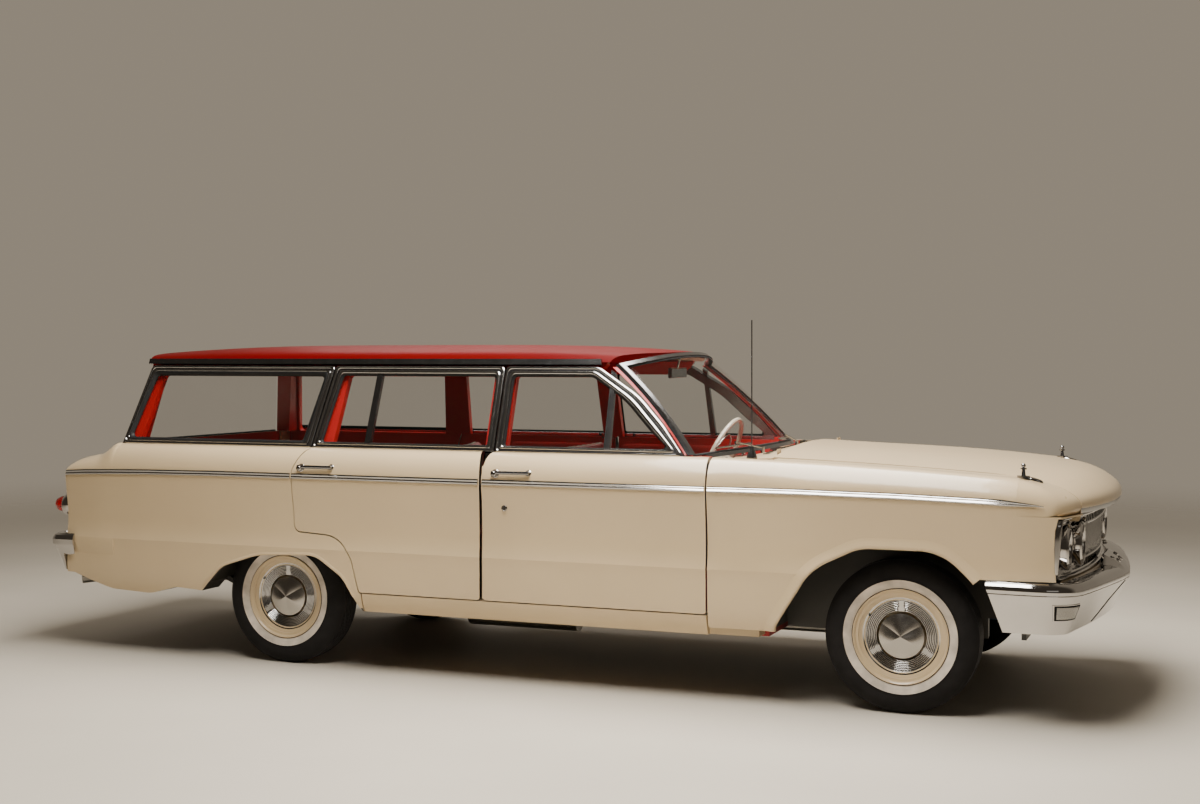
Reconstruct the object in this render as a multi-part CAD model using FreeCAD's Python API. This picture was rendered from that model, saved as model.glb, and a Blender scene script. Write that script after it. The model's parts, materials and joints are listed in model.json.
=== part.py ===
import FreeCAD, Part
import math
import os

V = FreeCAD.Vector

# Driving dimensions of the whole car, in millimetres.
# X is forward, Y is the car's left, Z is up, and the origin is on the ground at mid length.
WHEELBASE = 2781.0
FRONT_AXLE_X = 1618.5
REAR_AXLE_X = FRONT_AXLE_X - WHEELBASE
FRONT_TRACK = 1397.0
REAR_TRACK = 1384.0
TYRE_RADIUS = 302.0
TYRE_WIDTH = 165.0
GAP = 5.0
SEAT_GAP = 0.3

# The body side: the widest line is the belt, and the sill carries the windows.
BELT_HALF_WIDTH = 891.0
BELT_Z = 860.0
SILL_HALF_WIDTH = 786.0
SILL_Z = 985.0
CREASE_Z = 540.0
CREASE_IN = 9.0
HOLLOW_Z = 690.0
HOLLOW_IN = 18.0
BODY_BOTTOM_Z = 272.0
BOTTOM_TUCK = 52.0
INNER_WALL_Y = 725.0
PANEL = 16.0

# The upper side leans in as one flat plane from the sill to the roof rail.
RAIL_HALF_WIDTH = 652.0
RAIL_Z = 1366.0
LEAN = math.atan2(SILL_HALF_WIDTH - RAIL_HALF_WIDTH, RAIL_Z - SILL_Z)

# Door lines in side view.
FRONT_DOOR_FRONT_X = 866.0
DOOR_SPLIT_X = -130.0
DOOR_SPLIT_TOP_X = -112.0
REAR_DOOR_REAR_X = -1059.0
DOOR_BOTTOM_Z = 358.0
DOOR_TAPER = 34.0
REAR_DOOR_TAPER = 48.0
FRAME_DEPTH = 28.0
FRAME_WIDTH = 34.0
FRAME_FOOT = 0.75
GLASS_THICKNESS = 5.0
GLASS_DEPTH = 12.0

# The roof.
ROOF_THICKNESS = 26.0
ROOF_REAR_X = -1990.0
ROOF_REAR_BOW = 60.0

# The windshield, given by its lower and upper edge.
SHIELD_BASE_X = 915.0
SHIELD_BASE_Z = 1003.0
SHIELD_CORNER_X = 773.0
SHIELD_CORNER_Y = 762.0
SHIELD_HEAD_X = 545.0
SHIELD_HEAD_Z = 1400.0
SHIELD_HEAD_CORNER_X = 412.0
SHIELD_HEAD_CORNER_Y = 612.0
SHIELD_BULGE = 22.0
SHIELD_GLASS = 6.0
SHIELD_NORMAL_X = 0.731
SHIELD_NORMAL_Z = 0.681

# The hood and the nose.
HOOD_REAR_X = 1084.0
HOOD_HALF_WIDTH = 655.0
HOOD_THICKNESS = 18.0

# The tail.
TAIL_X = -2322.0
TAILGATE_HALF_WIDTH = 640.0
TAILGATE_HINGE_X = -2330.0
TAILGATE_HINGE_Z = 590.0
TAILGATE_THICKNESS = 55.0
LOAD_FLOOR_Z = 620.0
LOAD_FLOOR_THICKNESS = 20.0
LOAD_DECK_RISE = 4.0
LOAD_DECK_HALF = 545.0
HOUSE_RADIUS = 360.0
HOUSE_INNER_Y = 560.0
HOUSE_WALL = 15.0

# The floor.
FLOOR_Z = 262.0
FLOOR_THICKNESS = 20.0
FIREWALL_X = 1066.0
CORNER_TOP_Z = 964.0
KICK_X = -700.0
TUNNEL_RADIUS = 150.0
TUNNEL_WALL = 16.0
REAR_RAIL_Y = 490.0
SEAT_UNDER_Z = 425.0

# Wheels and what carries them.
RIM_RADIUS = 178.0
RIM_WIDTH = 132.0
KINGPIN_Y = 585.0
STEER_CLEAR_Y = 437.0
HUB_BORE = 28.0
SPRING_THICKNESS = 26.0
ENGINE_BOTTOM_Z = 300.0

# The steering column and wheel.
COLUMN_Y = 380.0
COLUMN_FOOT_Z = 672.0
COLUMN_HUB_X = 548.0
COLUMN_HUB_Z = 910.0
WHEEL_RIM_RADIUS = 203.0
HUB_DEPTH = 52.0

# Lamps and grille.
LAMP_FACE_X = 2196.0
LAMP_RADIUS = 68.0
LAMP_Z = 672.0
LAMP_Y_OUTER = 706.0
LAMP_Y_INNER = 528.0
GRILLE_BOTTOM_Z = 548.0
GRILLE_TOP_Z = 790.0
GRILLE_HALF_WIDTH = 817.0
GRILLE_CORNER = 34.0
BAR_PITCH = 26.0
BUMPER_TOP_Z = 553.0
BUMPER_END = [(1956.0, 600.0), (1956.0, BUMPER_TOP_Z), (2010.0, 340.0), (2010.0, 0.0)]
TAIL_LAMP_RADIUS = 50.0
TAIL_LAMP_Y = 788.0
TAIL_LAMP_Z = 684.0


# Small geometry helpers.

def spline(points):
    """A smooth edge through the points."""
    curve = Part.BSplineCurve()
    curve.interpolate([V(*p) for p in points])
    return curve.toShape()


def line(a, b):
    return Part.LineSegment(V(*a), V(*b)).toShape()


def polygon(points):
    """A closed wire of straight edges."""
    corners = [V(*p) for p in points]
    return Part.makePolygon(corners + [corners[0]])


def rounded_wire(corners):
    """A closed wire in the XZ plane. Each corner is (x, z, radius)."""
    count = len(corners)
    starts = []
    for i in range(count):
        x, z, radius = corners[i]
        here = V(x, 0, z)
        back = V(corners[i - 1][0], 0, corners[i - 1][1]) - here
        ahead = V(corners[(i + 1) % count][0], 0, corners[(i + 1) % count][1]) - here
        back_dir = V(back).normalize()
        ahead_dir = V(ahead).normalize()
        half = math.acos(max(-1.0, min(1.0, back_dir.dot(ahead_dir)))) / 2
        if radius <= 0 or half > math.pi / 2 - 0.01:
            starts.append((here, None, here))
            continue
        reach = radius / math.tan(half)
        bisector = (back_dir + ahead_dir).normalize()
        centre = here + bisector * (radius / math.sin(half))
        starts.append((here + back_dir * reach, centre - bisector * radius, here + ahead_dir * reach))
    edges = []
    for i in range(count):
        enter, middle, leave = starts[i]
        if middle is not None:
            edges.append(Part.Arc(enter, middle, leave).toShape())
        following = starts[(i + 1) % count][0]
        if (following - leave).Length > 0.01:
            edges.append(Part.LineSegment(leave, following).toShape())
    return Part.Wire(edges)


def prism_y(wire, y_from, y_to):
    """The XZ wire as a solid between two Y values."""
    moved = wire.copy()
    moved.translate(V(0, y_from, 0))
    return Part.Face(moved).extrude(V(0, y_to - y_from, 0))


def taper_y(wire_out, y_out, wire_in, y_in):
    """A solid between an outer outline at one Y and an inner one at another."""
    outer = wire_out.copy()
    outer.translate(V(0, y_out, 0))
    inner = wire_in.copy()
    inner.translate(V(0, y_in, 0))
    return Part.makeLoft([outer, inner], True, True)


def box(x0, x1, y0, y1, z0, z1):
    return Part.makeBox(x1 - x0, y1 - y0, z1 - z0, V(x0, y0, z0))


def cylinder(radius, start, end):
    axis = V(*end) - V(*start)
    return Part.makeCylinder(radius, axis.Length, V(*start), axis)


def mirrored(shape):
    return shape.mirror(V(0, 0, 0), V(0, 1, 0))


def both(shape):
    return [shape, mirrored(shape)]


def fuse(shapes):
    result = shapes[0]
    for other in shapes[1:]:
        result = result.fuse(other)
    return result.removeSplitter()


def offset_points(points, distance):
    """Points of an open 2D line, moved sideways to its left by the distance."""
    moved = []
    last = len(points) - 1
    for i, (a, b) in enumerate(points):
        before = points[max(i - 1, 0)]
        after = points[min(i + 1, last)]
        da = after[0] - before[0]
        db = after[1] - before[1]
        length = math.hypot(da, db)
        moved.append((a - db / length * distance, b + da / length * distance))
    return moved


def solids_of(shape):
    return [s for s in shape.Solids if s.Volume > 1.0]


def save(name, shapes):
    """Write one node: one solid, or several that don't touch."""
    if not isinstance(shapes, (list, tuple)):
        shapes = [shapes]
    solids = []
    for shape in shapes:
        solids += solids_of(shape)
    if not solids:
        raise RuntimeError("no solid in " + name)
    whole = solids[0] if len(solids) == 1 else Part.makeCompound(solids)
    if not whole.isValid():
        print("invalid shape in", name)
    whole.exportStep("parts/" + name + ".step")


# The body side.

def side_section(x, half_width, belt_z, top_y, top_z, inner_y, bottom_z=BODY_BOTTOM_Z, shrink=0.0):
    """One closed section of the body side at x, on the car's left."""
    w = half_width - shrink
    ty = top_y - shrink
    tz = top_z - shrink
    rise = tz - belt_z
    drop = w - ty
    crease = (x, w - CREASE_IN, CREASE_Z)
    belt = (x, w, belt_z)
    top = (x, ty, tz)
    bottom = (x, w - BOTTOM_TUCK, bottom_z)
    lower = spline([bottom, (x, w - 31, bottom_z + 38), (x, w - 15, (CREASE_Z + bottom_z) / 2), crease])
    side = spline([crease, (x, w - HOLLOW_IN, HOLLOW_Z), (x, w - 5, belt_z - 60), belt])
    shoulder = spline([belt, (x, w - 0.10 * drop, belt_z + 0.42 * rise),
                       (x, w - 0.42 * drop, belt_z + 0.82 * rise), top])
    inner_top = (x, inner_y, tz)
    inner_bottom = (x, inner_y, bottom_z)
    return Part.Wire([lower, side, shoulder, line(top, inner_top),
                      line(inner_top, inner_bottom), line(inner_bottom, bottom)])


# Stations of the fender: x, half width, belt height, crown half width and height.
FENDER_STATIONS = [
    (600.0, BELT_HALF_WIDTH, BELT_Z, SILL_HALF_WIDTH, SILL_Z),
    (FRONT_DOOR_FRONT_X, BELT_HALF_WIDTH, BELT_Z, SILL_HALF_WIDTH, SILL_Z),
    (1250.0, 891.0, 862.0, 782.0, 976.0),
    (FRONT_AXLE_X, 890.0, 858.0, 776.0, 961.0),
    (1950.0, 882.0, 848.0, 766.0, 941.0),
    (2130.0, 870.0, 838.0, 752.0, 920.0),
    (2230.0, 850.0, 822.0, 738.0, 888.0),
    (2300.0, 826.0, 790.0, 720.0, 840.0),
]

# Stations of the rear quarter's straight run, and of its tail: the same five values.
QUARTER_STATIONS = [
    (-700.0, BELT_HALF_WIDTH, BELT_Z, SILL_HALF_WIDTH, SILL_Z),
    (REAR_DOOR_REAR_X, BELT_HALF_WIDTH, BELT_Z, SILL_HALF_WIDTH, SILL_Z),
    (-1500.0, 890.0, 860.0, 784.0, SILL_Z),
    (-1850.0, 885.0, 856.0, 781.0, SILL_Z),
    (-2040.0, 880.0, 852.0, 778.0, SILL_Z),
]
TAIL_STATIONS = [
    (-2040.0, 880.0, 852.0, 778.0, SILL_Z),
    (-2087.0, 879.0, 851.0, 777.0, 973.0),
    (-2134.0, 877.0, 850.0, 775.0, 940.0),
    (-2181.0, 874.0, 848.0, 773.0, 927.0),
    (-2228.0, 870.0, 846.0, 771.0, 918.0),
    (-2275.0, 866.0, 843.0, 769.0, 906.0),
    (TAIL_X, 861.0, 840.0, 766.0, 882.0),
]


def side_loft(stations, inner_y, bottom_z=BODY_BOTTOM_Z, shrink=0.0, ruled=False):
    wires = [side_section(x, w, bz, ty, tz, inner_y, bottom_z, shrink) for x, w, bz, ty, tz in stations]
    return Part.makeLoft(wires, True, ruled)


def middle_side():
    """The wall of constant section that both doors are cut from."""
    section = side_section(-1400.0, BELT_HALF_WIDTH, BELT_Z, SILL_HALF_WIDTH, SILL_Z, INNER_WALL_Y)
    return Part.Face(section).extrude(V(2400, 0, 0))


# The flat leaning plane of the side windows.

def lean(shape):
    """Turn a shape drawn in the XZ plane, with Z from the sill, into the leaning plane."""
    placed = shape.copy()
    placed.rotate(V(0, 0, 0), V(1, 0, 0), math.degrees(LEAN))
    placed.translate(V(0, SILL_HALF_WIDTH, SILL_Z))
    return placed


def lean_wire(corners):
    """Rounded outline from real heights, drawn in the plane's own length."""
    return rounded_wire([(x, (z - SILL_Z) / math.cos(LEAN), r) for x, z, r in corners])


def lean_plate(corners, depth_from, depth_to):
    """A plate in the leaning plane between two depths in from its outer face."""
    wire = lean_wire(corners)
    return lean(prism_y(wire, -depth_from, -depth_to))


def above_sill(shape):
    """What stands on the sill, cut level with it."""
    return shape.common(box(-3000, 3000, -1200, 1200, SILL_Z + SEAT_GAP, 1600))


def front_door_frame_corners(inset):
    return [
        (DOOR_SPLIT_TOP_X + GAP / 2 + inset, 1352.0 - inset, 18.0),
        (322.0 - 0.6 * inset, 1352.0 - inset, 60.0),
        (519.0 - 1.5 * inset, 1230.0 - 0.5 * inset, 400.0),
        (643.0 - 1.5 * inset, 1107.0 - 0.5 * inset, 500.0),
        (742.0 - 1.8 * inset, SILL_Z + FRAME_FOOT * inset, 0.0 if inset == 0 else 14.0),
        (DOOR_SPLIT_TOP_X + GAP / 2 + inset, SILL_Z + FRAME_FOOT * inset, 0.0 if inset == 0 else 10.0),
    ]


def rear_door_frame_corners(inset):
    return [
        (-1014.0 + 1.1 * inset, SILL_Z + FRAME_FOOT * inset, 0.0 if inset == 0 else 10.0),
        (-957.0 + 1.0 * inset, 1352.0 - inset, 16.0),
        (DOOR_SPLIT_TOP_X - GAP / 2 - inset, 1352.0 - inset, 18.0),
        (DOOR_SPLIT_TOP_X - GAP / 2 - inset, SILL_Z + FRAME_FOOT * inset, 0.0 if inset == 0 else 10.0),
    ]


def quarter_frame_corners(inset):
    return [
        (-2046.0 + 0.9 * inset, SILL_Z + FRAME_FOOT * inset, 0.0 if inset == 0 else 26.0),
        (-1966.0 + 0.8 * inset, 1352.0 - inset, 22.0),
        (-957.0 - GAP - 1.2 * inset, 1352.0 - inset, 14.0),
        (-1014.0 - GAP - 1.2 * inset, SILL_Z + FRAME_FOOT * inset, 0.0 if inset == 0 else 12.0),
    ]


def lean_ring(corners_of, width, depth_from, depth_to):
    whole = lean_plate(corners_of(0.0), depth_from, depth_to)
    hole = lean_plate(corners_of(width), depth_from - 5, depth_to + 5)
    return above_sill(whole.cut(hole))


# Door outlines in side view.

def front_door_outline(taper):
    return rounded_wire([
        (DOOR_SPLIT_X + GAP / 2 + taper, DOOR_BOTTOM_Z, 12.0),
        (DOOR_SPLIT_X + GAP / 2 + taper, SILL_Z + 20, 0.0),
        (FRONT_DOOR_FRONT_X - GAP / 2 - 0.6 * taper, SILL_Z + 20, 0.0),
        (FRONT_DOOR_FRONT_X - GAP / 2 - 0.6 * taper, DOOR_BOTTOM_Z, 12.0),
    ])


def rear_door_outline(taper, grow=0.0, front_taper=0.0):
    g = grow
    front_x = DOOR_SPLIT_X - GAP / 2 + g - front_taper
    return rounded_wire([
        (front_x, DOOR_BOTTOM_Z - g, 12.0 if g == 0 else 0.0),
        (-729.0 - g + taper, DOOR_BOTTOM_Z - g, 8.0),
        (-768.0 - g + taper, 512.0 - g, 160.0),
        (-828.0 - g + taper, 603.0 - g, 150.0),
        (REAR_DOOR_REAR_X - g + taper, 616.0 - g, 34.0),
        (REAR_DOOR_REAR_X - g + taper, 885.0, 120.0),
        (-1020.0 - g + taper, SILL_Z + 20, 0.0),
        (front_x, SILL_Z + 20, 0.0),
    ])


# Doors.

def front_door_shell():
    tool = taper_y(front_door_outline(0.0), BELT_HALF_WIDTH + 9, front_door_outline(DOOR_TAPER), INNER_WALL_Y - 5)
    return middle_side().common(tool)


def rear_door_shell():
    tool = taper_y(rear_door_outline(0.0), BELT_HALF_WIDTH + 9,
                   rear_door_outline(REAR_DOOR_TAPER, 0.0, 55.0), INNER_WALL_Y - 5)
    return middle_side().common(tool)


def door_frame(corners_of):
    return lean_ring(corners_of, FRAME_WIDTH, 0.0, FRAME_DEPTH)


def door_glass(corners_of, width=FRAME_WIDTH):
    return lean_plate(corners_of(width + SEAT_GAP), GLASS_DEPTH, GLASS_DEPTH + GLASS_THICKNESS)


def vent_bar():
    """The upright bar that parts the vent pane from the front door's glass."""
    corners = [(384.0, SILL_Z + 21, 0.0), (378.0, 1340.0, 0.0), (400.0, 1326.0, 0.0), (412.0, SILL_Z + 21, 0.0)]
    return lean_plate(corners, 4.0, 24.0)


def division_bar():
    """The upright bar in the rear door's window."""
    corners = [(-752.0, SILL_Z + 15, 0.0), (-742.0, 1332.0, 0.0), (-714.0, 1332.0, 0.0), (-722.0, SILL_Z + 15, 0.0)]
    return lean_plate(corners, 4.0, 24.0)


def door_handle(front_x, z):
    """A pull bar on two posts, with a round button at its rear end."""
    length = 168.0
    bar_y = side_skin_y(z) + 20.0
    front_skin = side_skin_y(z - 9) + SEAT_GAP
    rear_skin = side_skin_y(z - 21) + SEAT_GAP
    bar = cylinder(8.0, (front_x - length, bar_y, z), (front_x, bar_y - 4, z))
    front_post = cylinder(9.0, (front_x - 8, front_skin, z), (front_x - 8, bar_y, z))
    rear_post = cylinder(15.0, (front_x - length + 8, rear_skin, z - 6), (front_x - length + 8, bar_y, z - 6))
    return fuse([bar, front_post, rear_post])


def side_skin_y(z):
    """Half width of the constant wall's shoulder at a height."""
    section = side_section(0.0, BELT_HALF_WIDTH, BELT_Z, SILL_HALF_WIDTH, SILL_Z, INNER_WALL_Y)
    level = Part.makeLine(V(0, INNER_WALL_Y + 1, z), V(0, BELT_HALF_WIDTH + 50, z))
    distance, pairs, info = section.distToShape(level)
    return pairs[0][0].y


# Fenders and quarters.

def arch_tool(corners, y_from, y_to):
    return prism_y(rounded_wire(corners), y_from, y_to)


FRONT_ARCH = [
    (1141.0, 150.0, 0.0), (1141.0, 321.0, 60.0), (1290.0, 560.0, 260.0), (1480.0, 652.0, 190.0),
    (1790.0, 652.0, 210.0), (1930.0, 520.0, 300.0), (2000.0, 372.0, 20.0), (2000.0, 150.0, 0.0),
]
REAR_ARCH = [
    (-1556.0, 150.0, 0.0), (-1556.0, 312.0, 40.0), (-1430.0, 440.0, 120.0), (-1240.0, 500.0, 300.0),
    (-945.0, 512.0, 130.0), (-803.0, 418.0, 150.0), (-738.0, 302.0, 40.0), (-716.0, 262.0, 0.0),
    (-716.0, 150.0, 0.0),
]


def nose_curve(y, reach_centre, reach_side, power=2.0):
    """Plan position of the nose at y: it bows back from the centre to the corner."""
    return reach_centre - (reach_centre - reach_side) * abs(y / 830.0) ** power


def nose_cut(reach_centre, reach_side, z_from, z_to):
    """The space in front of a bowed plan line, as a tool."""
    points = []
    for i in range(13):
        y = -960.0 + 160.0 * i
        points.append((nose_curve(y, reach_centre, reach_side), y, z_from))
    front = spline(points)
    far = 3200.0
    first = points[0]
    last = points[-1]
    wire = Part.Wire([front, line(last, (far, last[1], z_from)),
                      line((far, last[1], z_from), (far, first[1], z_from)), line((far, first[1], z_from), first)])
    return Part.Face(wire).extrude(V(0, 0, z_to - z_from))


def fender():
    """The front fender as a shell, with a solid lip over the lamps."""
    outer = side_loft(FENDER_STATIONS, HOOD_HALF_WIDTH + GAP)
    inner = side_loft(FENDER_STATIONS, HOOD_HALF_WIDTH - 80, BODY_BOTTOM_Z - 60, PANEL)
    inner = inner.cut(box(2150.0, 2500, 0, 1000, GRILLE_TOP_Z + SEAT_GAP, 1200))
    shell = outer.cut(inner)
    shell = shell.cut(box(0, FRONT_DOOR_FRONT_X + GAP / 2, 0, 1000, 0, 1200))
    shell = shell.cut(arch_tool(FRONT_ARCH, 600, 1000))
    shell = shell.cut(nose_cut(2372.0, 2236.0, 0, 1200))
    lamp_edge = [(2209.0, 540.0, 0.0), (2201.0, 600.0, 100.0), (2199.0, 670.0, 100.0), (2204.0, 745.0, 60.0),
                 (2216.0, GRILLE_TOP_Z, 0.0), (2500.0, GRILLE_TOP_Z, 0.0), (2500.0, 540.0, 0.0)]
    shell = shell.cut(arch_tool(lamp_edge, 600, 1000))
    shell = shell.cut(box(0, FIREWALL_X + 40, 0, 760, 0, 1200))
    over_bumper = [(x - 1.0, z + SEAT_GAP, 0.0) for x, z in BUMPER_END[1:]]
    return shell.cut(arch_tool(over_bumper + [(2600.0, 0.0, 0.0), (2600.0, BUMPER_TOP_Z + SEAT_GAP, 0.0)], 600, 1000))


def wheel_house(radius, y_from, y_to):
    """A cylinder about the raised centre of the rear wheel's room."""
    z = TYRE_RADIUS + 18
    return cylinder(radius, (REAR_AXLE_X, y_from, z), (REAR_AXLE_X, y_to, z))


def quarter():
    wall = side_loft(QUARTER_STATIONS, INNER_WALL_Y, ruled=True)
    tail = side_loft(TAIL_STATIONS, INNER_WALL_Y)
    corner = side_loft(TAIL_STATIONS, TAILGATE_HALF_WIDTH + GAP, 380.0)
    wall = wall.fuse(tail).fuse(corner)
    wall = wall.cut(box(-2100.0, 0, 0, 1200, SILL_Z, 1600))
    wall = wall.cut(box(-716.0, 0, 0, 1000, 0, 1200))
    room_radius = HOUSE_RADIUS - HOUSE_WALL
    house = wheel_house(HOUSE_RADIUS, HOUSE_INNER_Y, INNER_WALL_Y + 60)
    house = house.cut(box(-2500, 0, 0, 1000, -100, TYRE_RADIUS + 70))
    wall = wall.fuse(house)
    grown = taper_y(rear_door_outline(0.0, GAP), BELT_HALF_WIDTH + 9,
                    rear_door_outline(REAR_DOOR_TAPER, GAP), INNER_WALL_Y - 5)
    wall = wall.cut(grown)
    wall = wall.cut(wheel_house(room_radius, HOUSE_INNER_Y + HOUSE_WALL, 852))
    wall = wall.cut(arch_tool(REAR_ARCH, 600, 1000))
    lower = [(-2400.0, 150.0, 0.0), (-2400.0, 368.0, 0.0), (-2280.0, 368.0, 60.0), (-2060.0, 300.0, 200.0),
             (-1840.0, 290.0, 200.0), (-1690.0, 330.0, 120.0), (-1530.0, 320.0, 0.0), (-1530.0, 150.0, 0.0)]
    wall = wall.cut(arch_tool(lower, 500, 1000))
    return wall.cut(tail_lamp_seat())


# Roof, pillars and glass.

def roof_section(x, crown_z, half_width, edge_z, thickness):
    """A closed roof section, with its edge rolled over."""
    def arch(dz, dy):
        drop = crown_z - edge_z
        return [(x, -(half_width - dy), edge_z), (x, -(half_width - dy) * 0.965, edge_z + 0.30 * drop - dz * 0.6),
                (x, -(half_width - dy) * 0.86, crown_z - 0.40 * drop - dz),
                (x, -(half_width - dy) * 0.5, crown_z - 0.13 * drop - dz),
                (x, 0, crown_z - dz),
                (x, (half_width - dy) * 0.5, crown_z - 0.13 * drop - dz),
                (x, (half_width - dy) * 0.86, crown_z - 0.40 * drop - dz),
                (x, (half_width - dy) * 0.965, edge_z + 0.30 * drop - dz * 0.6), (x, half_width - dy, edge_z)]
    upper = arch(0.0, 0.0)
    lower = arch(thickness, thickness)
    return Part.Wire([spline(upper), line(upper[-1], lower[-1]), spline(lower), line(lower[0], upper[0])])


ROOF_STATIONS = [
    (-2070.0, 1420.0, 646.0, 1372.0),
    (-1800.0, 1438.0, 652.0, 1374.0),
    (-1200.0, 1450.0, 654.0, 1375.0),
    (-400.0, 1450.0, 654.0, 1377.0),
    (150.0, 1441.0, 650.0, 1377.0),
    (600.0, 1406.0, 640.0, 1352.0),
]


def roof():
    shell = Part.makeLoft([roof_section(x, c, w, e, ROOF_THICKNESS) for x, c, w, e in ROOF_STATIONS], True, False)
    rear = []
    front = []
    for i in range(9):
        y = -800.0 + 200.0 * i
        rear.append((ROOF_REAR_X - ROOF_REAR_BOW + ROOF_REAR_BOW * (y / 650.0) ** 2, y, 1200.0))
        swept = (SHIELD_HEAD_X - SHIELD_HEAD_CORNER_X) * (abs(y) / SHIELD_HEAD_CORNER_Y) ** 2.2
        front.append((SHIELD_HEAD_X - 29.0 - swept, y, 1200.0))
    keep = Part.Wire([spline(rear), line(rear[-1], front[-1]), spline(front), line(front[0], rear[0])])
    return shell.common(Part.Face(keep).extrude(V(0, 0, 400)))


def shield_point(s, t, depth, spread=0.0):
    """A point of the windshield: s runs -1 to 1 across, t runs 0 to 1 up, depth is inward."""
    curve = abs(s) ** 2.2
    base_x = SHIELD_BASE_X - (SHIELD_BASE_X - SHIELD_CORNER_X) * curve
    head_x = SHIELD_HEAD_X - (SHIELD_HEAD_X - SHIELD_HEAD_CORNER_X) * curve
    x = base_x + (head_x - base_x) * t + 4 * SHIELD_BULGE * t * (1 - t)
    half = SHIELD_CORNER_Y + (SHIELD_HEAD_CORNER_Y - SHIELD_CORNER_Y) * t + spread
    z_centre = SHIELD_BASE_Z + (SHIELD_HEAD_Z - SHIELD_BASE_Z) * t
    slope = 0.127 + (0.376 - 0.127) * t
    x_centre = SHIELD_BASE_X + (SHIELD_HEAD_X - SHIELD_BASE_X) * t + 4 * SHIELD_BULGE * t * (1 - t)
    z = z_centre + slope * (x - x_centre)
    inward = depth / (SHIELD_NORMAL_X + SHIELD_NORMAL_Z * slope)
    return (x - inward, half * s, z - slope * inward)


def shield_slab(t_from, t_to, spread, depth_from, depth_to):
    wires = []
    for t in (t_from, (t_from + t_to) / 2, t_to):
        across = [-1.0 + 0.25 * i for i in range(9)]
        outer = [shield_point(s, t, depth_from, spread) for s in across]
        inner = [shield_point(s, t, depth_to, spread) for s in across]
        wires.append(Part.Wire([spline(outer), line(outer[-1], inner[-1]), spline(inner), line(inner[0], outer[0])]))
    return Part.makeLoft(wires, True, False)


def door_swing_room():
    """The space over the front doors' upper edges that nothing fixed may enter."""
    return fuse(both(box(600, FRONT_DOOR_FRONT_X + GAP, 700, 1000, 900, SILL_Z + GAP + 1)))


def windshield():
    return shield_slab(0.0, 1.0, 0.0, 0.0, SHIELD_GLASS).cut(door_swing_room())


def windshield_moulding():
    outer = shield_slab(-0.035, 1.035, 20.0, -6.0, 12.0)
    opening = shield_slab(0.0 - 0.001, 1.001, 0.4, -30.0, 40.0)
    return outer.cut(opening).cut(door_swing_room())


def lean_y(z):
    """Half width of the leaning plane at a height."""
    return SILL_HALF_WIDTH - (z - SILL_Z) * math.tan(LEAN)


def a_pillar():
    """The slim windshield pillar, between the glass's side edge and the door frame's front."""
    sections = []
    for t, frame_x in ((0.0, 742.0), (0.5, 585.0), (1.0, 376.0)):
        x, y, z = shield_point(1.0, t, 0.0)
        side_y = lean_y(z)
        rear_x = frame_x + GAP + 1
        sections.append(polygon([(x - 18, y + 20, z), (rear_x, side_y - 2, z), (rear_x, side_y - 38, z),
                                 (x - 22, y - 22, z)]))
    post = Part.makeLoft(sections, True, False)
    post = post.cut(box(600, 900, 600, 900, 900, SILL_Z + GAP + 1))
    foot = box(728, 750, INNER_WALL_Y - 35, 750, SILL_Z + GAP + 1, SILL_Z + GAP + 10)
    leg = box(728, 750, INNER_WALL_Y - 35, INNER_WALL_Y - GAP - 1, CORNER_TOP_Z + SEAT_GAP, SILL_Z + GAP + 10)
    return fuse([post, foot, leg])


def side_rail_plate():
    """The body's own window frame on one side: rail, B, C and D pillars."""
    outline = [(-2030.0, SILL_Z - 20, 0.0), (-1952.0, 1390.0, 10.0), (360.0, 1390.0, 10.0),
               (290.0, 1326.0, 10.0), (-70.0, 1326.0, 10.0), (-70.0, SILL_Z - 20, 0.0)]
    near = FRAME_DEPTH + GAP
    far = near + 30
    plate = above_sill(lean_plate(outline, near, far))
    rear_window = [(-930.0, SILL_Z - 20, 0.0), (-900.0, 1326.0, 14.0), (-172.0, 1326.0, 14.0),
                   (-172.0, SILL_Z - 20, 0.0)]
    quarter_window = [(-1974.0, SILL_Z + 14, 20.0), (-1908.0, 1326.0, 20.0), (-1024.0, 1326.0, 14.0),
                      (-1072.0, SILL_Z + 14, 14.0)]
    plate = plate.cut(lean_plate(rear_window, near - 5, far + 5))
    plate = plate.cut(lean_plate(quarter_window, near - 5, far + 5))
    roof_above = roof()
    roof_above.translate(V(0, 0, -SEAT_GAP))
    pieces = plate.cut(roof_above).Solids
    return max(pieces, key=lambda piece: piece.Volume)


def b_post():
    """The post between the doors, from the sill up to the window frame."""
    bottom = DOOR_BOTTOM_Z - GAP + SEAT_GAP
    wire = polygon([(DOOR_SPLIT_X - 49, INNER_WALL_Y - 20, bottom), (DOOR_SPLIT_X + 25, INNER_WALL_Y - 20, bottom),
                    (DOOR_SPLIT_X + 22, INNER_WALL_Y, bottom), (DOOR_SPLIT_X + 8, INNER_WALL_Y + 65, bottom),
                    (DOOR_SPLIT_X - 20, INNER_WALL_Y + 65, bottom), (DOOR_SPLIT_X - 45, INNER_WALL_Y, bottom)])
    lower = Part.Face(wire).extrude(V(0, 0, SILL_Z - 8 - bottom))
    near = FRAME_DEPTH + GAP
    neck = lean_plate([(DOOR_SPLIT_X - 42, SILL_Z - 30, 0.0), (DOOR_SPLIT_X - 42, SILL_Z + 30, 0.0),
                       (DOOR_SPLIT_X + 20, SILL_Z + 30, 0.0), (DOOR_SPLIT_X + 20, SILL_Z - 30, 0.0)], near, near + 30)
    return lower.fuse(neck)


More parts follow.
